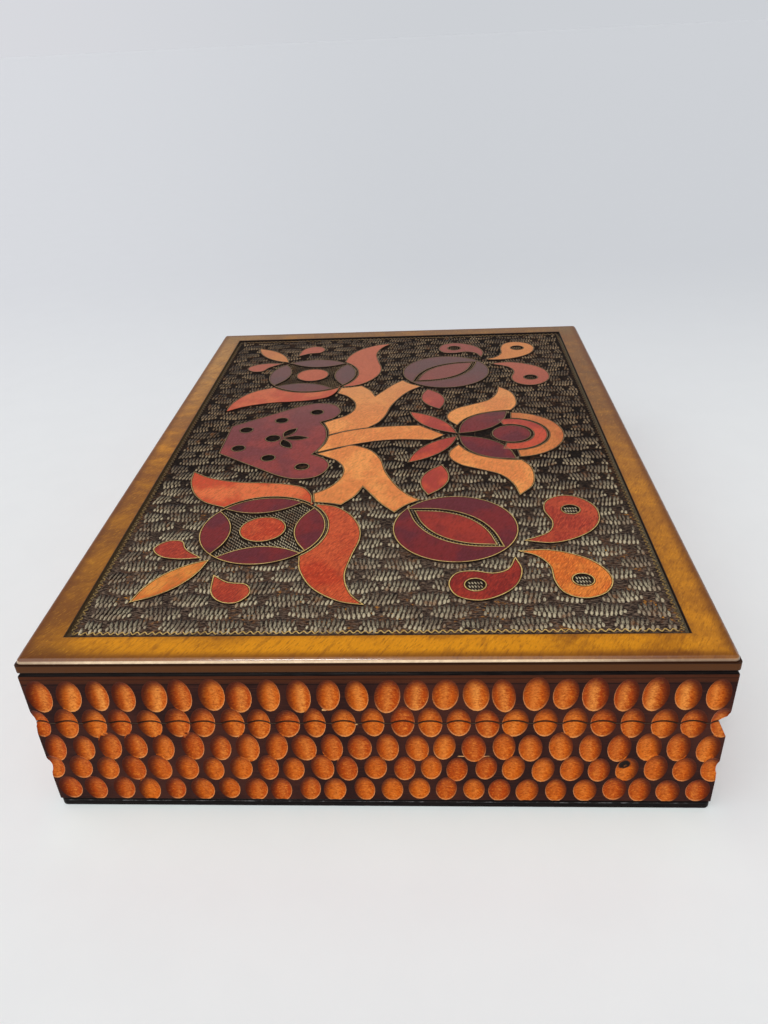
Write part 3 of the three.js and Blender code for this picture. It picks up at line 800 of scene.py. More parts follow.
def gouge(wall, low, high, scoops):
    # one cut for each row of each side, so that no cutter lies in another
    margin = 7 * mm
    for side in sides:
        for row in range(len(scoopSettings["rows"])):
            copies = []
            for scoop in scoops:
                if scoop["side"] != side or scoop["row"] != row:
                    continue
                matrix = scoopMatrix(scoop)
                centre = matrix.translation
                if any(not low[i] - margin <= centre[i] <= high[i] + margin for i in range(3)):
                    continue
                copy = bpy.data.objects.new("scoop", scoopCutter.data.copy())
                copy.data.transform(matrix)
                bpy.context.scene.collection.objects.link(copy)
                copies.append(copy)
            if copies:
                cutWith(wall, joinAll(copies, "scoops"))


hinges = ("hinge_left", "hinge_right")
hingeSettings = {"pocketGap": 0.3, "leafGap": 0.2}


def upward(half):
    # the way from the hinge into that half's wall
    return 1 if half == "lid" else -1


def rimHeight(hinge, half):
    # where the face of a leaf with its screw heads lies
    low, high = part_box(f"{hinge}_{half}_screw_1")
    return low.z if half == "lid" else high.z


def cutHingePocket(wall, hinge, half):
    low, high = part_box(f"{hinge}_{half}_leaf")
    rim, up = rimHeight(hinge, half), upward(half)
    gap, leafGap = hingeSettings["pocketGap"] * mm, hingeSettings["leafGap"] * mm
    x0, x1 = low.x - leafGap, high.x + leafGap
    radius = high.y - hingeAxis.y + gap
    cutWith(wall, addBar("pocket", radius, x0, x1, hingeAxis.y, hingeAxis.z))
    faces = sorted((rim - up * mm, rim + up * leafSettings["thickness"] * mm))
    cutWith(wall, addBlock("recess", (x0, low.y - leafGap, faces[0]), (x1, hingeAxis.y, faces[1])))


leafSettings = {
    "thickness": 0.9,
    "middleKnuckle": 10.0,
    "knuckleGap": 0.3,
    "pinGap": 0.15,
    "cornerRound": 0.8,
    "barrelEdge": 0.14,
    "softEdge": 0.12,
}

wallFinishes = [finishes["side"], finishes["scoop"], finishes["inside"], finishes["black"]]
scoopCutter = makeScoopCutter()
scoops = scoopPlaces()


def wallLook(half):
    # 0 outside, 1 gouged, 2 inside and rims, 3 the blackened chamfer
    def pick(centre, normal):
        if 0.3 < normal.z < 0.95 and half == "lid":
            return 3
        atEnd = abs(abs(centre.x) - wallHalfLength) < 0.3 * mm and abs(normal.x) > 0.5
        atSide = abs(abs(centre.y) - wallHalfWidth) < 0.3 * mm and abs(normal.y) > 0.5
        return 0 if atEnd or atSide else 2
    return pick


def noteScoops(wall, scoops):
    # for each point of the wall: where it lies in its scoop, from -1 to 1, that scoop's tone, and the
    # strength and lean of its painted highlight and shade
    places = np.zeros(len(wall.data.vertices) * 3)
    wall.data.vertices.foreach_get("co", places)
    places = places.reshape(-1, 3) / mm
    best = np.full(len(places), 9.0)
    names = ("across", "along", "tone", "sheen", "lean")
    notes = {name: np.ones(len(places), np.float32) for name in names}
    for scoop in scoops:
        face = sides[scoop["side"]]
        deep = face["reach"] / mm - places @ np.array(face["out"])
        along = places @ np.array(face["along"]) - scoop["along"]
        up = places[:, 2] - scoop["z"]
        turn = math.radians(scoop["tilt"]) * (1 if scoop["side"] in ("front", "right") else -1)
        u = (along * math.cos(turn) + up * math.sin(turn)) / (scoop["width"] / 2)
        v = (up * math.cos(turn) - along * math.sin(turn)) / (scoop["height"] / 2)
        # which way the scoop's painted highlight and painted shade are moved along the wall
        lean = max(-1.0, min(1.0, (24 - scoop["along"]) / 60))
        apart = np.hypot(u, v)
        nearer = (deep < scoop["depth"] + 0.3) & (apart < best)
        best[nearer] = apart[nearer]
        for name, value in zip(names, (u, v, scoop["tone"], scoop["sheen"], lean)):
            notes[name][nearer] = value[nearer] if isinstance(value, np.ndarray) else value
    for name, values in notes.items():
        wall.data.attributes.new(name, "FLOAT", "POINT").data.foreach_set("value", values)


def makeWall(half, name):
    node = f"{half}_{name}_wall"
    low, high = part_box(node)
    wall = addBlock(node + "_carved", low, high)
    if name != "front":
        rim = low.z if half == "lid" else high.z
        slope = math.radians(wallSettings[half + "Slope"])
        down = -1 if half == "lid" else 1
        sliceOff(wall, (0, hingeAxis.y, rim), (0, math.sin(slope), down * math.cos(slope)))
    if half == "lid":
        depth, height = wallSettings["chamferDepth"], wallSettings["chamferHeight"]
        for face in sides.values():
            edge = face["out"] * face["reach"] + Vector((0, 0, high.z - height * mm))
            sliceOff(wall, edge, face["out"] * height + Vector((0, 0, depth)))
    finishWith(wall, "BEVEL", width=wallSettings["softEdge"] * mm, segments=2, limit_method="ANGLE")
    giveMaterials(wall, wallFinishes, wallLook(half))
    if name == "back":
        for hinge in hinges:
            cutHingePocket(wall, hinge, half)
    gouge(wall, low, high, scoops)
    noteScoops(wall, scoops)
    shadeByAngle(wall, 14)
    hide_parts(node)
    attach(wall, half)
    print(node, "carved:", len(wall.data.polygons), "faces")


for half in ("base", "lid"):
    for name in ("front", "back", "left", "right"):
        makeWall(half, name)
bpy.data.objects.remove(scoopCutter)

# Lid board: plain band, small step, rounded edge, and a recess for the carved panel
lidSettings = {
    "bandCorner": 1.0,
    "topCorner": 1.9,
    "bandHeight": 2.8,
    "bandStep": 0.35,
    "edgeRound": 1.6,
    "borderX": 11.0,
    "borderY": 11.1,
    "recess": 0.8,
    "recessSlope": 0.7,
    "underRound": 0.35,
    "overlap": 0.8,
}
lidLow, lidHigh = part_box("lid_board")
panelX = lidHigh.x / mm - lidSettings["borderX"]
panelY = lidHigh.y / mm - lidSettings["borderY"]
panelTop = lidHigh.z / mm
panelFloor = panelTop - lidSettings["recess"]


def makeLidBoard():
    bandTop = lidLow.z + lidSettings["bandHeight"] * mm
    low, high = lidLow.z + 0.01 * mm, lidHigh.z - 0.01 * mm
    board = addBlock("lid_board_moulded", lidLow, (lidHigh.x, lidHigh.y, bandTop))
    bevelEdges(board, lambda a, b: abs(a.z - b.z) > mm, lidSettings["bandCorner"], 8)
    bevelEdges(board, lambda a, b: max(a.z, b.z) < low, lidSettings["underRound"], 3)
    step = Vector((lidSettings["bandStep"] * mm, lidSettings["bandStep"] * mm, 0))
    start = Vector((lidLow.x, lidLow.y, bandTop - lidSettings["overlap"] * mm))
    top = addBlock("lid_board_top", start + step, lidHigh - step)
    bevelEdges(top, lambda a, b: abs(a.z - b.z) > mm, lidSettings["topCorner"], 10)
    bevelEdges(top, lambda a, b: min(a.z, b.z) > high, lidSettings["edgeRound"], 7)
    uniteWith(board, top)

    def onTop(centre, normal):
        return normal.z > 0.99 and centre.z > high

    def inPanel(centre):
        return abs(centre.x) < panelX * mm and abs(centre.y) < panelY * mm

    markRectangle(board, panelX * mm, panelY * mm, onTop)
    selectFaces(board, lambda centre, normal: onTop(centre, normal) and inPanel(centre))
    bpy.ops.mesh.inset(thickness=lidSettings["recessSlope"] * mm, depth=-lidSettings["recess"] * mm)
    bpy.ops.object.mode_set(mode="OBJECT")

    def look(centre, normal):
        # 0 amber outside, 1 the stamped floor of the recess with its edge, 2 inside the box
        if inPanel(centre) and centre.z > bandTop + 0.2 * mm:
            return 1
        return 2 if normal.z < -0.9 else 0

    giveMaterials(board, [finishes["amber"], finishes["ground"], finishes["inside"]], look)
    shadeByAngle(board, 35)
    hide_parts("lid_board")
    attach(board, "lid")


makeLidBoard()
print("lid board made")


# Outlines of the carving, in millimetres seen from above. A point with a third value is a sharp corner.
def arc(centre, radius, start, end):
    steps = max(4, int(abs(end - start) / 9))
    angles = [math.radians(start + (end - start) * step / steps) for step in range(steps + 1)]
    line = [(centre[0] + radius * math.cos(a), centre[1] + radius * math.sin(a)) for a in angles]
    return [(*line[0], 1), *line[1:-1], (*line[-1], 1)]


def circle(centre, radius):
    return [(centre[0] + radius * math.cos(a), centre[1] + radius * math.sin(a))
            for a in np.linspace(0, 2 * math.pi, 24, endpoint=False)]


def lens(tipA, tipB, bulgeA, bulgeB):
    # two bows between two tips
    (ax, ay), (bx, by) = tipA, tipB
    across = Vector((ay - by, bx - ax)).normalized()
    line = []
    for start, end, bulge in (((ax, ay), (bx, by), -bulgeA), ((bx, by), (ax, ay), bulgeB)):
        line.append((*start, 1))
        for t in (0.2, 0.4, 0.6, 0.8):
            swell = 4 * t * (1 - t) * bulge
            line.append((start[0] + (end[0] - start[0]) * t + across.x * swell,
                         start[1] + (end[1] - start[1]) * t + across.y * swell))
    return line


def flipped(points):
    return [(2 * mirrorLine - x, *rest) for x, *rest in points]


def bothHalves(points):
    # the right half from bottom to top, then the same points back down the left
    return points + flipped(points)[::-1]


def rosettePetal(turn):
    # outer edge on the ring itself, inner edge a bow of the same depth
    half, radius = rosette["petalTips"], rosette["radius"]
    outer = arc(rosette["centre"], radius, turn - half, turn + half)
    bulge = radius * (1 - math.cos(math.radians(half)))
    inner = lens(outer[-1][:2], outer[0][:2], bulge, bulge)[1:5]
    return outer + inner


aroundRosette = rosette["radius"] + 1.35
# what stands on the right half and is mirrored to the left
mirrored = {
    "comma_upper": {"stain": "red", "holes": [circle(*eyes["comma_upper"])], "outline": [
        (83.4, 49.5, 1), (84.9, 58), (82.8, 65.4), (77.6, 72.6), (70.1, 76.7), (61, 76.5),
        (54.6, 71.6), (53.2, 65.5), (56.8, 60), (63.4, 58.4), (71.6, 60.3), (78.4, 57.9)]},
    "comma_outer": {"stain": "leafOrange", "holes": [circle(*eyes["comma_outer"])], "outline": [
        (89.7, 46.7, 1), (89.3, 56.2), (92.4, 65), (98.1, 71.5), (106.1, 74.2), (113, 71.2), (115.9, 64.5),
        (113.3, 58.8), (106.8, 56.4), (98.6, 56), (92.6, 52.4)]},
    "comma_lower": {"stain": "redDark", "holes": [circle(*eyes["comma_lower"])], "outline": [
        (93.5, 45.3, 1), (101, 46.7), (108.9, 44.2), (114.3, 38.6), (116.6, 32), (114.2, 25.6), (108, 23.3),
        (102.3, 25.7), (101, 31.3), (102.4, 37.6), (100, 42.6)]},
    "pomegranate": {"stain": "maroon", "outline": circle(pomegranate["centre"], pomegranate["radius"]),
                    "holes": [lens((60.9, 9.6), (86.9, 42.3), 9.3, 9.5)]},
    "pomegranate_heart": {"stain": "heart", "outline": lens((62.5, 12.1), (85.6, 40), 7.5, 7.7)},
    "rosette_disc": {"stain": "coral", "outline": circle(rosette["centre"], 8.1)},
    "petal_upper": {"stain": "coral", "outline": [
        (56.6, -24.9, 1), (58.4, -17.7), (64, -11.7), (72.3, -7.7), (81, -6.8), (91.8, -8.9), (103, -10.2),
        (112.6, -7.6), (118.4, -3, 1), (116.2, -11.3), (109.5, -19.8), (99.8, -25),
        *arc(rosette["centre"], aroundRosette, 41, 133)]},
    "petal_lower": {"stain": "petal", "outline": [
        (56.2, -26.4, 1), (49.6, -27.4), (43.6, -31.2), (40.6, -38.5), (39.2, -47.6), (38.2, -58),
        (34.6, -69.2), (28.8, -77.6, 1), (38, -76.5), (47.2, -72.8), (53.6, -67.3),
        *arc(rosette["centre"], aroundRosette, 227.5, 138.5)]},
    "drop_end": {"stain": "red", "outline": [
        (101.9, -53, 1), (105.9, -47.6), (107.2, -41.4), (112.1, -39.4), (116.7, -42.8), (116, -48),
        (111.2, -51.8)]},
    "drop_near": {"stain": "red", "outline": [
        (91.5, -60, 1), (92, -67.4), (90.2, -74), (85.5, -77.6), (81, -74.4), (81, -69), (86.2, -66.2)]},
    "leaf_corner": {"stain": "cornerLeaf", "outline": lens((92.9, -56.9), (116, -76.5), 4.5, 4.5)},
    "leaf_beside": {"stain": "crimson", "outline": lens((26.8, 22.4), (50.8, 16.9), 5.4, 5.1)},
    "sepal": {"stain": "crimson", "outline": lens((0.2, 29.5), (24, 8.8), 4.6, 4.4)},
    "tulip_leaf": {"stain": "maroon", "outline": lens((0.2, 30.3), (22.4, 52.6), 7.4, 6.3)},
    "tulip_petal": {"stain": "orange", "outline": [
        (8.4, 29.8, 1), (14.6, 26), (20.6, 26), (26.6, 30), (30.6, 36.8), (35.6, 45), (43.2, 49.3),
        (52, 51, 1), (44.8, 56.4), (36, 58), (29, 57.3), (23.7, 54.6, 1), (22.9, 48), (20.2, 39.8),
        (15.2, 33.6)]},
}
# the part that the two branching stems share
branch = [
    (32, 0.2), (43, 4.6), (50, 8.9), (54.6, 13.6, 1), (58.4, 8.4), (63.3, 4.6, 1), (56.8, -0.5),
    (50, -4.4), (43.5, -8.1, 1), (50.6, -10.6), (57.2, -15.4, 1), (55.8, -20), (54.9, -25.6, 1),
    (48.6, -26.6, 1), (44.4, -21.6), (37.2, -17.6), (29, -16.8), (21.8, -19.9), (17.2, -25.4),
]
# what stands on the middle line, and the stems, which differ at their feet
single = {
    "pot": {"stain": "pot", "outline": bothHalves([
        (12.2, -71, 1), (19.2, -61.8), (26.6, -51.8), (33.4, -42.4), (36.4, -34.4), (34.2, -26.8),
        (26.4, -23.1), (19.2, -25.8), (15, -31.4, 1), (8.4, -28.4), (1.6, -27.1)]),
        "holes": [circle((mirrorLine + side * x, y), 2.9)
                  for side in (-1, 1) for x, y in ((27.2, -34), (18.8, -49.2), (9.2, -63.6))] + [
            circle((mirrorLine, -50.2), 3.3),
            lens((mirrorLine, -45.6), (mirrorLine, -34.6), 2.1, 2.1),
            lens((mirrorLine - 1.2, -45.8), (mirrorLine - 10, -41), 1.6, 2.6),
            lens((mirrorLine + 1.2, -45.8), (mirrorLine + 10, -41), 2.6, 1.6)]},
    "stem_middle": {"stain": "orange", "outline": [
        (13.4, -30, 1), (8, -18.8), (3.6, -6), (2.3, 4), (2.8, 12), (3.4, 18.8, 1), (-1.2, 24, 1),
        (-11.4, 13.4, 1), (-11.2, 2), (-9.8, -9), (-6.8, -19), (-2.6, -26.1, 1), (5, -26.9)]},
    "stem_right": {"stain": "orange", "outline": [
        (14.6, -29.4, 1), (10.2, -21), (7.4, -14.8), (12.2, -7), (20.8, -2.4), *branch]},
    "stem_left": {"stain": "orange", "outline": [
        (-16.6, -29.6, 1), (-9, -27), (-3.6, -26.2, 1), (-7.6, -18.6), (-10.4, -9.4, 1), (-15.4, -5.2),
        (-23.2, -2.2), *flipped(branch)]},
    "tulip_heart": {"stain": "maroon", "outline": circle(tulip["centre"], tulip["rings"][0])},
}
carvingSettings = {
    "lineOut": 0.16,
    "lineIn": 0.17,
    "islandIn": 0.34,
    "lineTop": 0.12,
    "islandTop": 0.15,
    "softEdge": 0.05,
    "foot": 0.1,
    "stagger": 0.004,
}


def throughPoints(run):
    # a smooth line through the points of one run, without its last point
    run = [2 * run[0] - run[1], *run, 2 * run[-1] - run[-2]]
    line = []
    for a, b, c, d in zip(run, run[1:], run[2:], run[3:]):
        steps = max(2, int(np.linalg.norm(c - b) / 0.8))
        for t in np.arange(steps) / steps:
            line.append(0.5 * (2 * b + (c - a) * t + (2 * a - 5 * b + 4 * c - d) * t * t
                               + (3 * b - a - 3 * c + d) * t ** 3))
    return line


def smoothLoop(points):
    places = [np.array(point[:2], float) for point in points]
    tips = [i for i, point in enumerate(points) if len(point) == 3]
    if not tips:
        wrapped = [places[-1], *places, places[0], places[1]]
        loop = throughPoints(wrapped)
        first = len(throughPoints(wrapped[:2]))
        last = len(throughPoints(wrapped[-2:]))
        loop = loop[first:len(loop) - last]
    else:
        loop = []
        for start, end in zip(tips, tips[1:] + [tips[0] + len(points)]):
            run = [places[i % len(points)] for i in range(start, end + 1)]
            if np.linalg.norm(run[0] - run[-1]) > 0.05 or len(run) > 2:
                loop += throughPoints(run)
    loop = np.array(loop)
    x, y = loop[:, 0], loop[:, 1]
    area = np.sum(x * np.roll(y, -1) - y * np.roll(x, -1))
    return loop if area > 0 else loop[::-1]


def distanceToLoop(places, loop):
    start = loop[None]
    step = (np.roll(loop, -1, 0) - loop)[None]
    offset = places[:, None] - start
    share = np.clip((offset * step).sum(2) / np.maximum((step ** 2).sum(2), 1e-9), 0, 1)
    return np.linalg.norm(offset - share[..., None] * step, axis=2).min(1)


def insideLoop(places, loop):
    x, y = places[:, 0, None], places[:, 1, None]
    x0, y0 = loop[None, :, 0], loop[None, :, 1]
    x1, y1 = np.roll(x0, -1, 1), np.roll(y0, -1, 1)
    crosses = (y0 > y) != (y1 > y)
    at = x0 + (y - y0) * (x1 - x0) / np.where(y1 == y0, 1e-9, y1 - y0)
    return (crosses & (x < at)).sum(1) % 2 == 1


def grow(loop, distance):
    # the loop moved outwards, or inwards with a minus, and trimmed where it would cross itself
    before = loop - np.roll(loop, 1, 0)
    after = np.roll(loop, -1, 0) - loop
    outs = []
    for step in (before, after):
        step = step / np.maximum(np.linalg.norm(step, axis=1), 1e-9)[:, None]
        outs.append(np.stack([step[:, 1], -step[:, 0]], 1))
    middle = outs[0] + outs[1]
    reach = np.maximum((middle * outs[0]).sum(1), 0.35)[:, None]
    moved = loop + middle / reach * distance
    return moved[distanceToLoop(moved, loop) > abs(distance) * 0.96]


def meshFromLoops(name, loops, z, **settings):
    # a curve with a closed line for each loop, turned into a mesh
    curve = bpy.data.curves.new(name, "CURVE")
    for key, value in settings.items():
        setattr(curve, key, value)
    for loop in loops:
        spline = curve.splines.new("POLY")
        spline.points.add(len(loop) - 1)
        for point, (x, y) in zip(spline.points, loop):
            point.co = (x * mm, y * mm, z * mm, 1)
        spline.use_cyclic_u = True
    piece = bpy.data.objects.new(name, curve)
    bpy.context.scene.collection.objects.link(piece)
    makeActive(piece)
    bpy.ops.object.convert(target="MESH")
    return bpy.context.object


def cutOut(name, loops, low, high, softEdge=0.0):
    # a flat shape as if sawn out: the first loop is its edge and the others its holes
    piece = meshFromLoops(
        name, loops, 0, dimensions="2D", fill_mode="BOTH", extrude=((high - low) / 2 - softEdge) * mm,
        bevel_depth=softEdge * mm, bevel_resolution=0, offset=-softEdge * mm,
    )
    piece.location.z = (low + high) / 2 * mm
    applyPlace(piece)
    bpy.ops.object.mode_set(mode="EDIT")
    bpy.ops.mesh.select_all(action="SELECT")
    bpy.ops.mesh.remove_doubles(threshold=0.001 * mm)
    bpy.ops.mesh.normals_make_consistent(inside=False)
    bpy.ops.object.mode_set(mode="OBJECT")
    return piece


islandLoops = []
outlineLoops = []


def makeLine(name, loop):
    # the pale line along an outline; no two that meet are quite as high
    look = carvingSettings
    outlineLoops.append(loop)
    high = panelTop - look["lineTop"] - look["stagger"] * (len(outlineLoops) % 6)
    sides = [grow(loop, look["lineOut"]), grow(loop, -look["lineIn"])]
    line = cutOut(name, sides, panelFloor - look["foot"], high)
    giveMaterials(line, [finishes["line"], finishes["slit"]],
                  lambda centre, normal: int(abs(normal.z) < 0.5))
    return line


def makeFigure(name, figure):
    # the raised, stained face, and the pale line that runs round it and round its holes
    look = carvingSettings
    lift = look["stagger"] * (len(outlineLoops) % 5)
    edge = smoothLoop(figure["outline"])
    holes = [smoothLoop(hole) for hole in figure.get("holes", [])]
    islandLoops.append((edge, holes))
    inset = [grow(edge, -look["islandIn"])] + [grow(hole, look["islandIn"]) for hole in holes]
    high = panelTop - look["islandTop"] - lift
    face = cutOut(name, inset, panelFloor - look["foot"], high, look["softEdge"])
    giveMaterials(face, [finishes[figure["stain"]], finishes["slit"]],
                  lambda centre, normal: int(abs(normal.z) < 0.3))
    return [face] + [makeLine(name + "_line", loop) for loop in (edge, *holes)]


def finishCarving(parts, name):
    piece = joinAll(parts, name)
    shadeByAngle(piece, 30)
    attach(piece, "lid")


for name, figure in mirrored.items():
    finishCarving(makeFigure(name, figure), name + "_right")
    other = dict(figure, outline=flipped(figure["outline"]),
                 holes=[flipped(hole) for hole in figure.get("holes", [])])
    finishCarving(makeFigure(name, other), name + "_left")
for name, figure in single.items():
    finishCarving(makeFigure(name, figure), name)
for side, turned in (("right", lambda points: points), ("left", flipped)):
    ring = smoothLoop(turned(circle(rosette["centre"], rosette["radius"])))
    parts = [makeLine("rosette_ring", ring)]
    for turn in rosette["turns"]:
        petal = {"stain": "maroon", "outline": turned(rosettePetal(turn))}
        parts += makeFigure("rosette_petal", petal)
    finishCarving(parts, "rosette_" + side)
print("figures carved:", len(outlineLoops), "outlines")


# Bows of the tulip: rings that stop where the two dark leaves cover them
rings = tulip["rings"]
for name, stain, inner, outer, start in (("tulip_ring_inner", "crimson", rings[1], rings[2], -17),
                                         ("tulip_ring_outer", "bow", rings[3], rings[4], 4)):
    outline = arc(tulip["centre"], inner, start, 180 - start)
    outline += arc(tulip["centre"], outer, 180 - start, start)
    finishCarving(makeFigure(name, {"stain": stain, "outline": outline}), name)


# Stamped ground: rows of short ridges, set in staggered groups as the punch left them
strokeSettings = {
    "groupX": 6.4,
    "groupY": 14.9,
    "perGroup": 8,
    "pitch": 1.42,
    "long": (4.7, 1.3, 0.6),
    "short": (3.3, 1.26, 0.56),
    "secondRow": 3.1,
    "bow": 0.9,
    "shorterAside": 0.38,
    "edgeFree": 3.3,
    "clearOfFigure": 0.4,
    "sunk": 0.03,
    # a ridge's share of its full width up to each place along it, and where it is cut to take them
    "widths": {-0.4: 0.3, 0: 0.8, 0.4: 1.0, 9: 0.45},
    "cuts": (-0.2, 0.2),
}
# the finer marks: their pitch along X and Y, and each one's length, width and height
detailSettings = {
    "rosettePitch": (1.7, 0.92),
    "rosetteMark": (1.75, 0.5, 0.3),
    "eyePitch": (1.9, 0.95),
    "eyeMark": (1.6, 0.62, 0.36),
    "eyeTurn": 0.5,
    "clearOfFigure": 0.55,
}


def makeStroke(paleness):
    # one ridge, a unit long: low and narrow at one end, swelling to a round head at the other
    deselectAll()
    bpy.ops.mesh.primitive_cylinder_add(vertices=6, radius=0.5, depth=1, rotation=(0, math.pi / 2, 0))
    stroke = bpy.context.object
    stroke.name = "stroke"
    applyPlace(stroke)
    sliceOff(stroke, (0, 0, -0.02), (0, 0, -1))
    for x in strokeSettings["cuts"]:
        makeActive(stroke)
        bpy.ops.object.mode_set(mode="EDIT")
        bpy.ops.mesh.select_all(action="SELECT")
        bpy.ops.mesh.bisect(plane_co=(x, 0, 0), plane_no=(1, 0, 0))
        bpy.ops.object.mode_set(mode="OBJECT")
    for vertex in stroke.data.vertices:
        swell = next(width for end, width in strokeSettings["widths"].items() if vertex.co.x < end)
        vertex.co.y *= swell
        vertex.co.z *= swell * 2
    worn = stroke.data.attributes.new("worn", "FLOAT", "POINT")
    for vertex, value in zip(stroke.data.vertices, worn.data):
        onTop = 1 if vertex.co.z > 0.1 else 0.2
        value.value = paleness * onTop * min(1, max(0.1, vertex.co.x * 1.4 + 0.95))
    return stroke


def strokeMatrix(x, y, turn, size):
    place = Matrix.Translation((x * mm, y * mm, (panelFloor - strokeSettings["sunk"]) * mm))
    return place @ Matrix.Rotation(turn, 4, "Z") @ Matrix.Diagonal((*(part * mm for part in size), 1))


def clearOfFigures(places, margin):
    # true for the places that lie on open ground
    free = np.ones(len(places), bool)
    for edge, holes in islandLoops:
        covered = insideLoop(places, edge) | (distanceToLoop(places, edge) < margin)
        for hole in holes:
            covered &= ~(insideLoop(places, hole) & (distanceToLoop(places, hole) > margin))
        free &= ~covered
    return free


def groundStrokes():
    look = strokeSettings
    chance = random.Random(5)
    strokes = []
    limitX, limitY = panelX - look["edgeFree"], panelY - look["edgeFree"]
    columns = int(2 * limitX / look["groupX"])
    rows = int(2 * limitY / look["groupY"]) + 2
    for column in range(columns + 1):
        for row in range(rows):
            x0 = limitX - 3.4 - look["groupX"] * column + chance.uniform(-0.5, 0.5)
            y0 = -limitY + look["groupY"] * (row + 0.5 * (column % 2)) + chance.uniform(-1.1, 1.1)
            slant = chance.uniform(-0.16, 0.16) - 0.07
            lean = chance.uniform(-0.1, 0.1)
            bright = chance.uniform(0.85, 1.1)
            for line, (length, width, height) in enumerate((look["long"], look["short"])):
                for i in range(look["perGroup"] + line):
                    u = (i - (look["perGroup"] - 1 + line) / 2) / (look["perGroup"] / 2)
                    along = u * look["perGroup"] / 2 * look["pitch"]
                    shorter = 1 - look["shorterAside"] * u * u
                    behind = line * (look["secondRow"] - look["bow"] * u * u)
                    x = x0 + behind + lean * along + chance.uniform(-0.15, 0.15)
                    y = y0 + along + chance.uniform(-0.14, 0.14)
                    turn = slant - 0.16 * u * (1 - line) + chance.uniform(-0.07, 0.07)
                    size = (
                        length * shorter * chance.uniform(0.88, 1.1),
                        width * chance.uniform(0.85, 1.12),
                        height * bright * chance.uniform(0.85, 1.1),
                    )
                    if abs(x) < limitX and abs(y) < limitY:
                        strokes.append((x, y, turn, size, "pale" if line else "dull"))
    places = np.array([stroke[:2] for stroke in strokes])
    keep = clearOfFigures(places, look["clearOfFigure"])
    for x, y in (rosette["centre"], *flipped([rosette["centre"]])):
        keep &= np.hypot(places[:, 0] - x, places[:, 1] - y) > rosette["radius"] + 0.6
    for edge, holes in islandLoops:
        for hole in holes:
            keep &= ~insideLoop(places, hole)
    x, y = tulip["centre"]
    keep &= np.hypot(places[:, 0] - x, places[:, 1] - y) > tulip["rings"][-1]
    return [stroke for stroke, kept in zip(strokes, keep) if kept]


def fineStrokes():
    # the finer punch marks inside the rosettes, in the eyes and along the dark bands
    look = detailSettings
    chance = random.Random(9)
    strokes = []
    for flip in (1, -1):
        def put(x, y, turn, size):
            if flip < 0:
                x, turn = 2 * mirrorLine - x, -turn
            strokes.append((x, y, turn, size, "pale"))
        (cx, cy), (pitchX, pitchY) = rosette["centre"], look["rosettePitch"]
        for gx in np.arange(-21, 21, pitchX):
            for y in np.arange(-21, 21, pitchY):
                x = gx + (pitchX / 2 if int(round(y / pitchY)) % 2 else 0) + chance.uniform(-0.15, 0.15)
                if math.hypot(x, y) < rosette["radius"] - 0.9:
                    put(cx + x, cy + y, chance.uniform(0.35, 0.6), look["rosetteMark"])
        pitchX, pitchY = look["eyePitch"]
        for (cx, cy), radius in eyes.values():
            for x in (-pitchX, 0, pitchX):
                for y in (i * pitchY for i in range(-3, 4)):
                    if math.hypot(x, y) < radius - 0.6:
                        put(cx + x + 0.2, cy + y, look["eyeTurn"], look["eyeMark"])
    places = np.array([stroke[:2] for stroke in strokes])
    keep = clearOfFigures(places, look["clearOfFigure"])
    strokes = [stroke for stroke, kept in zip(strokes, keep) if kept]
    for loop, pitch, size, slantBy in dashedLoops():
        length = np.linalg.norm(np.roll(loop, -1, 0) - loop, axis=1)
        reach = np.concatenate([[0], np.cumsum(length)])
        for along in np.arange(0, reach[-1] - pitch / 2, pitch):
            i = min(int(np.searchsorted(reach, along, "right")) - 1, len(loop) - 1)
            step = loop[(i + 1) % len(loop)] - loop[i]
            x, y = loop[i] + step * (along - reach[i]) / max(length[i], 1e-9)
            strokes.append((x, y, math.atan2(step[1], step[0]) + slantBy, size, "pale"))
    return strokes


def dashedLoops():
    # the lines that small dashes follow: the dark band of each pomegranate, and round each rosette
    loops = []
    for turned in (lambda points: points, flipped):
        band = smoothLoop(turned(lens((61.7, 10.9), (86.3, 41.1), 8.4, 8.6)))
        loops.append((band, 1.3, (0.72, 0.6, 0.66), 1.2))
        for start, end in ((44, 130), (141, 224)):
            ringLine = smoothLoop(turned(arc(rosette["centre"], rosette["radius"] + 0.68, start, end)))
            loops.append((ringLine[:int(len(ringLine) * 0.98)], 0.95, (0.55, 0.3, 0.5), 0.6))
    for radius in (rings[0] + 0.7, rings[2] + 0.5):
        loops.append((smoothLoop(circle(tulip["centre"], radius)), 1.0, (0.62, 0.3, 0.4), 0.6))
    return loops


def placeStrokes(strokes, name):
    copies = []
    for x, y, turn, size, kind in strokes:
        copy = bpy.data.objects.new("stroke", strokeTemplates[kind].data.copy())
        copy.data.transform(strokeMatrix(x, y, turn, size))
        bpy.context.scene.collection.objects.link(copy)
        copies.append(copy)
    piece = joinAll(copies, name)
    giveMaterials(piece, [finishes["ridge"]])
    shadeByAngle(piece, 60)
    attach(piece, "lid")
    print(name, len(strokes), "strokes")


strokeTemplates = {"pale": makeStroke(1.0), "dull": makeStroke(0.62)}
ground = groundStrokes()
placeStrokes([stroke for stroke in ground if stroke[0] < 0], "stamped_ground_left")
placeStrokes([stroke for stroke in ground if stroke[0] >= 0], "stamped_ground_right")
placeStrokes(fineStrokes(), "stamped_details")
for template in strokeTemplates.values():
    bpy.data.objects.remove(template)

# Wavy line just inside the recess
waveSettings = {
    "inside": 2.2,
    "insideFront": 1.45,
    "insideBack": 1.4,
    "period": 2.27,
    "swing": 0.55,
    "radius": 0.18,
    "height": 0.12,
}


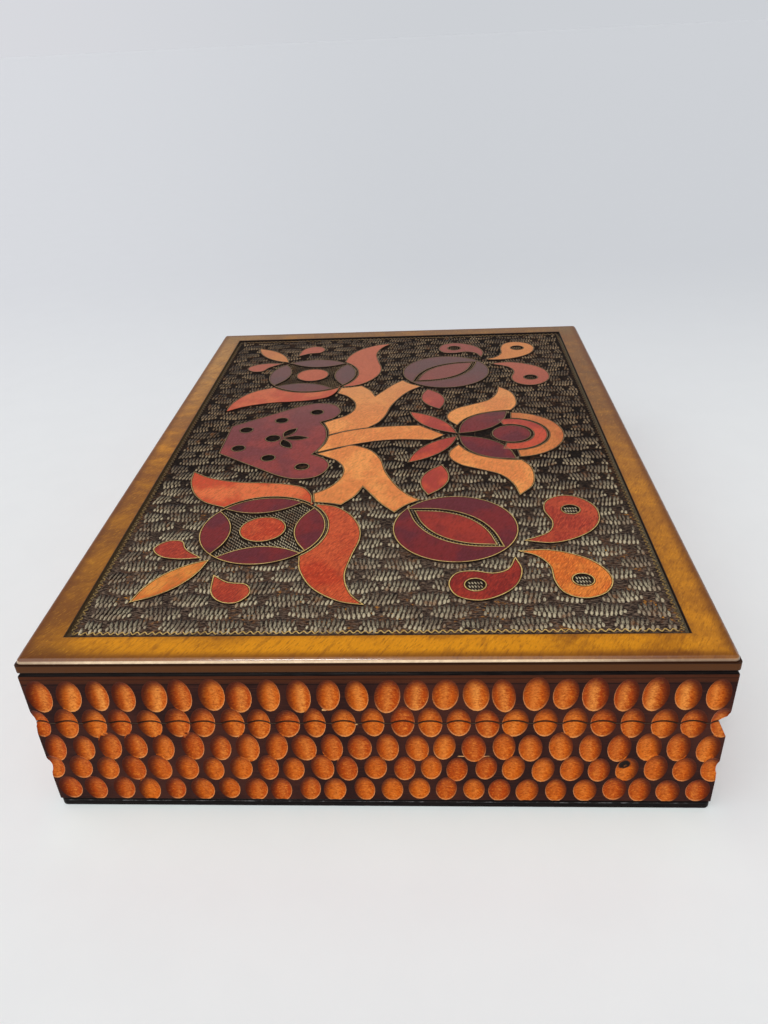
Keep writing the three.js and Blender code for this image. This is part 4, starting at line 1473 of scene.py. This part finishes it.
def makeWave():
    look = waveSettings
    farX = panelX - look["inside"]
    frontY, backY = panelY - look["insideFront"], panelY - look["insideBack"]
    points = []
    corners = [(farX, -frontY), (farX, backY), (-farX, backY), (-farX, -frontY)]
    for (x0, y0), (x1, y1) in zip(corners, corners[1:] + corners[:1]):
        length = math.hypot(x1 - x0, y1 - y0)
        waves = round(length / look["period"])
        ux, uy = (x1 - x0) / length, (y1 - y0) / length
        for i in range(waves * 8):
            t = i / 8
            out = look["swing"] * math.sin(2 * math.pi * t)
            along = length * t / waves
            points.append((x0 + ux * along + uy * out, y0 + uy * along - ux * out))
    wave = meshFromLoops("wavy_line", [points], panelFloor + look["height"], dimensions="3D",
                         bevel_depth=look["radius"] * mm, bevel_resolution=1)
    giveMaterials(wave, [finishes["line"]])
    shadeByAngle(wave, 60)
    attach(wave, "lid")


makeWave()
print("ground stamped")

# Base board: black edge and underside, plain wood inside the box
baseSettings = {"corner": 1.8, "edge": 0.45}


def makeBaseBoard():
    low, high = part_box("base_board")
    board = addBlock("base_board_lacquered", low, high)
    bevelEdges(board, lambda a, b: abs(a.z - b.z) > mm, baseSettings["corner"], 6)
    bevelEdges(board, lambda a, b: abs(a.z - b.z) < 0.1 * mm, baseSettings["edge"], 5)
    # the part of the top that shows inside the box is marked out as a face of its own
    innerX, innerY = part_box("base_front_wall")[1].x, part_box("base_back_wall")[0].y
    markRectangle(board, innerX, innerY, lambda centre, normal: normal.z > 0.99)

    def look(centre, normal):
        return int(normal.z > 0.99 and abs(centre.x) < innerX and abs(centre.y) < innerY)

    giveMaterials(board, [finishes["black"], finishes["inside"]], look)
    shadeByAngle(board, 35)
    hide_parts("base_board")
    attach(board, "base")


makeBaseBoard()
print("base board made")

# Hinges: two leaves, a pin and four screws each, let into the rims of the back walls
screwSettings = {
    "headRadius": 1.35,
    "headHeight": 0.8,
    "shankRadius": 0.6,
    "tipLength": 1.4,
    "slotWidth": 0.36,
    "slotDepth": 0.3,
    "headGap": 0.2,
    "sinkDepth": 1.1,
    "tipRadius": 0.05,
    # how far the slots of both screws are turned, in degrees
    "turns": {"lid": (105, 160), "base": (75, 130)},
}
pinSettings = {"edge": 0.25}


def addTurned(name, x, y, z, lowRadius, highRadius, height, sides=48):
    deselectAll()
    bpy.ops.mesh.primitive_cone_add(
        vertices=sides, radius1=lowRadius, radius2=highRadius, depth=abs(height),
        location=(x, y, z + height / 2), rotation=(0 if height > 0 else math.pi, 0, 0),
    )
    turned = bpy.context.object
    turned.name = name
    applyPlace(turned)
    return turned


def makeLeaf(hinge, half):
    node = f"{hinge}_{half}_leaf"
    low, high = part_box(node)
    rim, up = rimHeight(hinge, half), upward(half)
    middle, end = (low.x + high.x) / 2, (high.x - low.x) / 2
    knuckle, gap = leafSettings["middleKnuckle"] / 2 * mm, leafSettings["knuckleGap"] / 2 * mm
    outer = [(middle - end, middle - knuckle - gap), (middle + knuckle + gap, middle + end)]
    inner = [(middle - knuckle + gap, middle + knuckle - gap)]
    own, other = (inner, outer) if half == "lid" else (outer, inner)
    radius = high.y - hingeAxis.y
    faces = sorted((rim, rim + up * leafSettings["thickness"] * mm))
    leaf = addBlock(node + "_brass", (low.x, low.y, faces[0]), (high.x, hingeAxis.y, faces[1]))
    edge = low.y + 0.1 * mm
    bevelEdges(leaf, lambda a, b: max(a.y, b.y) < edge and abs(a.z - b.z) > 0.3 * mm,
               leafSettings["cornerRound"], 5)
    finishWith(leaf, "BEVEL", width=leafSettings["softEdge"] * mm, segments=2, limit_method="ANGLE")
    for x0, x1 in other:
        room = radius + hingeSettings["pocketGap"] * mm
        cutWith(leaf, addBar("clear", room, x0 - 2 * gap, x1 + 2 * gap, hingeAxis.y, hingeAxis.z))
    for x0, x1 in own:
        barrel = addBar("barrel", radius, x0, x1, hingeAxis.y, hingeAxis.z, 56)
        finishWith(barrel, "BEVEL", width=leafSettings["barrelEdge"] * mm, segments=2,
                   limit_method="ANGLE", angle_limit=1.2)
        uniteWith(leaf, barrel)
    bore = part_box(hinge + "_pin")[1].y - hingeAxis.y + leafSettings["pinGap"] * mm
    cutWith(leaf, addBar("bore", bore, low.x - mm, high.x + mm, hingeAxis.y, hingeAxis.z))
    head, foot = (screwSettings[part] * mm + screwSettings["headGap"] * mm
                  for part in ("headRadius", "shankRadius"))
    for number in (1, 2):
        x, y = screwPlace(f"{hinge}_{half}_screw_{number}")
        depth = up * screwSettings["sinkDepth"] * mm
        sink = addTurned("sink", x, y, rim - up * 0.02 * mm, head, foot, depth)
        cutWith(leaf, sink)
    giveMaterials(leaf, [finishes["brass"]])
    shadeByAngle(leaf, 32)
    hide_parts(node)
    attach(leaf, half)


def screwPlace(node):
    low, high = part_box(node)
    return (low.x + high.x) / 2, (low.y + high.y) / 2


def makeScrew(hinge, half, number):
    node = f"{hinge}_{half}_screw_{number}"
    low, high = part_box(node)
    x, y = screwPlace(node)
    up = upward(half)
    face, tip = (low.z, high.z) if half == "lid" else (high.z, low.z)
    sizes = {name: value * mm for name, value in screwSettings.items() if name != "turns"}
    shank = sizes["shankRadius"]
    head = addTurned(node + "_turned", x, y, face, sizes["headRadius"], shank, up * sizes["headHeight"])
    neck = face + up * (sizes["headHeight"] - 0.1 * mm)
    shankEnd = tip - up * sizes["tipLength"]
    uniteWith(head, addTurned("shank", x, y, neck, shank * 0.999, shank * 0.999, shankEnd - neck, 32))
    point = addTurned("tip", x, y, shankEnd - up * 0.01 * mm, shank, sizes["tipRadius"], tip - shankEnd, 32)
    uniteWith(head, point)
    halfSlot = Vector((2 * mm, sizes["slotWidth"] / 2, sizes["slotDepth"]))
    angle = math.radians(screwSettings["turns"][half][number - 1])
    slot = addBlock("slot", -halfSlot, halfSlot)
    slot.data.transform(Matrix.Translation((x, y, face)) @ Matrix.Rotation(angle, 4, "Z"))
    cutWith(head, slot)
    giveMaterials(head, [finishes["brass"]])
    shadeByAngle(head, 32)
    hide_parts(node)
    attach(head, half)


def makePin(hinge):
    node = hinge + "_pin"
    low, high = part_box(node)
    pin = addBar(node + "_drawn", high.y - hingeAxis.y, low.x, high.x, hingeAxis.y, hingeAxis.z)
    finishWith(pin, "BEVEL", width=pinSettings["edge"] * mm, segments=4,
               limit_method="ANGLE", angle_limit=1.2)
    giveMaterials(pin, [finishes["steel"]])
    shadeByAngle(pin, 32)
    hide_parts(node)
    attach(pin, "base")


for hinge in hinges:
    makePin(hinge)
    for half in ("lid", "base"):
        makeLeaf(hinge, half)
        makeScrew(hinge, half, 1)
        makeScrew(hinge, half, 2)
print("hinges made")

# Floor and soft studio light
studioSettings = {
    "floorNear": (238, 240, 241),
    "floorByBox": (241, 249, 248),
    "floorFarLeft": (221, 223, 228),
    "floorFarRight": (209, 212, 217),
    "skyLeft": (217, 218, 223),
    "skyRight": (205, 208, 213),
    "leftToRight": (-0.51, 0.05),
    "skyLow": 0.62,
    "skyMiddle": 0.22,
    "skyHigh": 0.3,
    "sun": {"strength": 1.15, "softness": 75, "from": (0.3, -0.35, 1.0)},
    "key": {"strength": 1.25, "softness": 14, "from": (0.72, -0.22, 1.0)},
}
bpy.ops.mesh.primitive_plane_add(size=60)
floor = bpy.context.object
floor.name = "floor"
paving = Finish("paleFloor")
x, y = paving.axes()[:2]
# far off, the floor's tone changes from left to right just as the backdrop's does
eyeX, eyeY = (value / mm for value in cameraSettings["place"][:2])
apart = paving.distance(paving.minus(x, eyeX), paving.minus(y, eyeY))
sideways = paving.math("DIVIDE", paving.minus(y, eyeY), paving.math("MAXIMUM", apart, 1))
farTone = paving.mix(paving.ramp(sideways, *studioSettings["leftToRight"]),
                     studioSettings["floorFarLeft"], studioSettings["floorFarRight"])
farAway = paving.math("MAXIMUM", paving.ramp(x, 120, -560), paving.ramp(apart, 700, 1600))
paving.body = paving.mix(farAway, studioSettings["floorNear"], farTone)
# painted light: the floor just in front of the box is lighter and greener, to lift the box's shadow there
# and take out the reddish light the box throws on it
besideBox = paving.patch((x, 176, 146), (paving.apart(y), 112, 90), (x, 120, 140))
paving.tint(studioSettings["floorByBox"], besideBox)
clouds = paving.noise((0.01, 0.01, 0.01), 4, 3, 0.6)
paving.tint((200, 200, 204), clouds, 0.3, 0.7, 0, 0.04)
floor.data.materials.append(paving.finish(clouds, 0.8, 0.8, shine=0.2))
floor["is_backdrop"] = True

for name in ("sun", "key"):
    look = studioSettings[name]
    bpy.ops.object.light_add(type="SUN")
    light = bpy.context.object
    light.name = name
    light.data.energy = look["strength"]
    light.data.angle = math.radians(look["softness"])
    light.rotation_euler = Vector(look["from"]).to_track_quat("Z", "Y").to_euler()

world = bpy.data.worlds.new("studio")
bpy.context.scene.world = world
world.use_nodes = True
sky = Sheet(world.node_tree)
axes = sky.split(sky.add("ShaderNodeTexCoord").outputs["Generated"])
light = sky.add("ShaderNodeValToRGB")
sky.join(axes[2], light.inputs["Fac"])
stops = light.color_ramp.elements
low, middle, high = (studioSettings[name] for name in ("skyLow", "skyMiddle", "skyHigh"))
stops[0].color = (low, low, low, 1)
stops[1].color = (high, high, high, 1)
for place, tone in ((0.3, low * 0.75), (0.6, middle)):
    stops.new(place).color = (tone, tone, tone, 1)
# what the camera sees, also in and through shiny pieces, is a plain pale backdrop
rays = sky.add("ShaderNodeLightPath").outputs
seen = rays["Is Camera Ray"]
for kind in ("Is Glossy Ray", "Is Transmission Ray"):
    seen = sky.math("MAXIMUM", seen, rays[kind])
backdrop = sky.mix(sky.ramp(axes[1], *studioSettings["leftToRight"]),
                   studioSettings["skyLeft"], studioSettings["skyRight"])
background = world.node_tree.nodes["Background"]
sky.fill(background, {"Color": sky.mix(seen, light.outputs["Color"], backdrop), "Strength": 1})
print("studio set")

low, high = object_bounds()
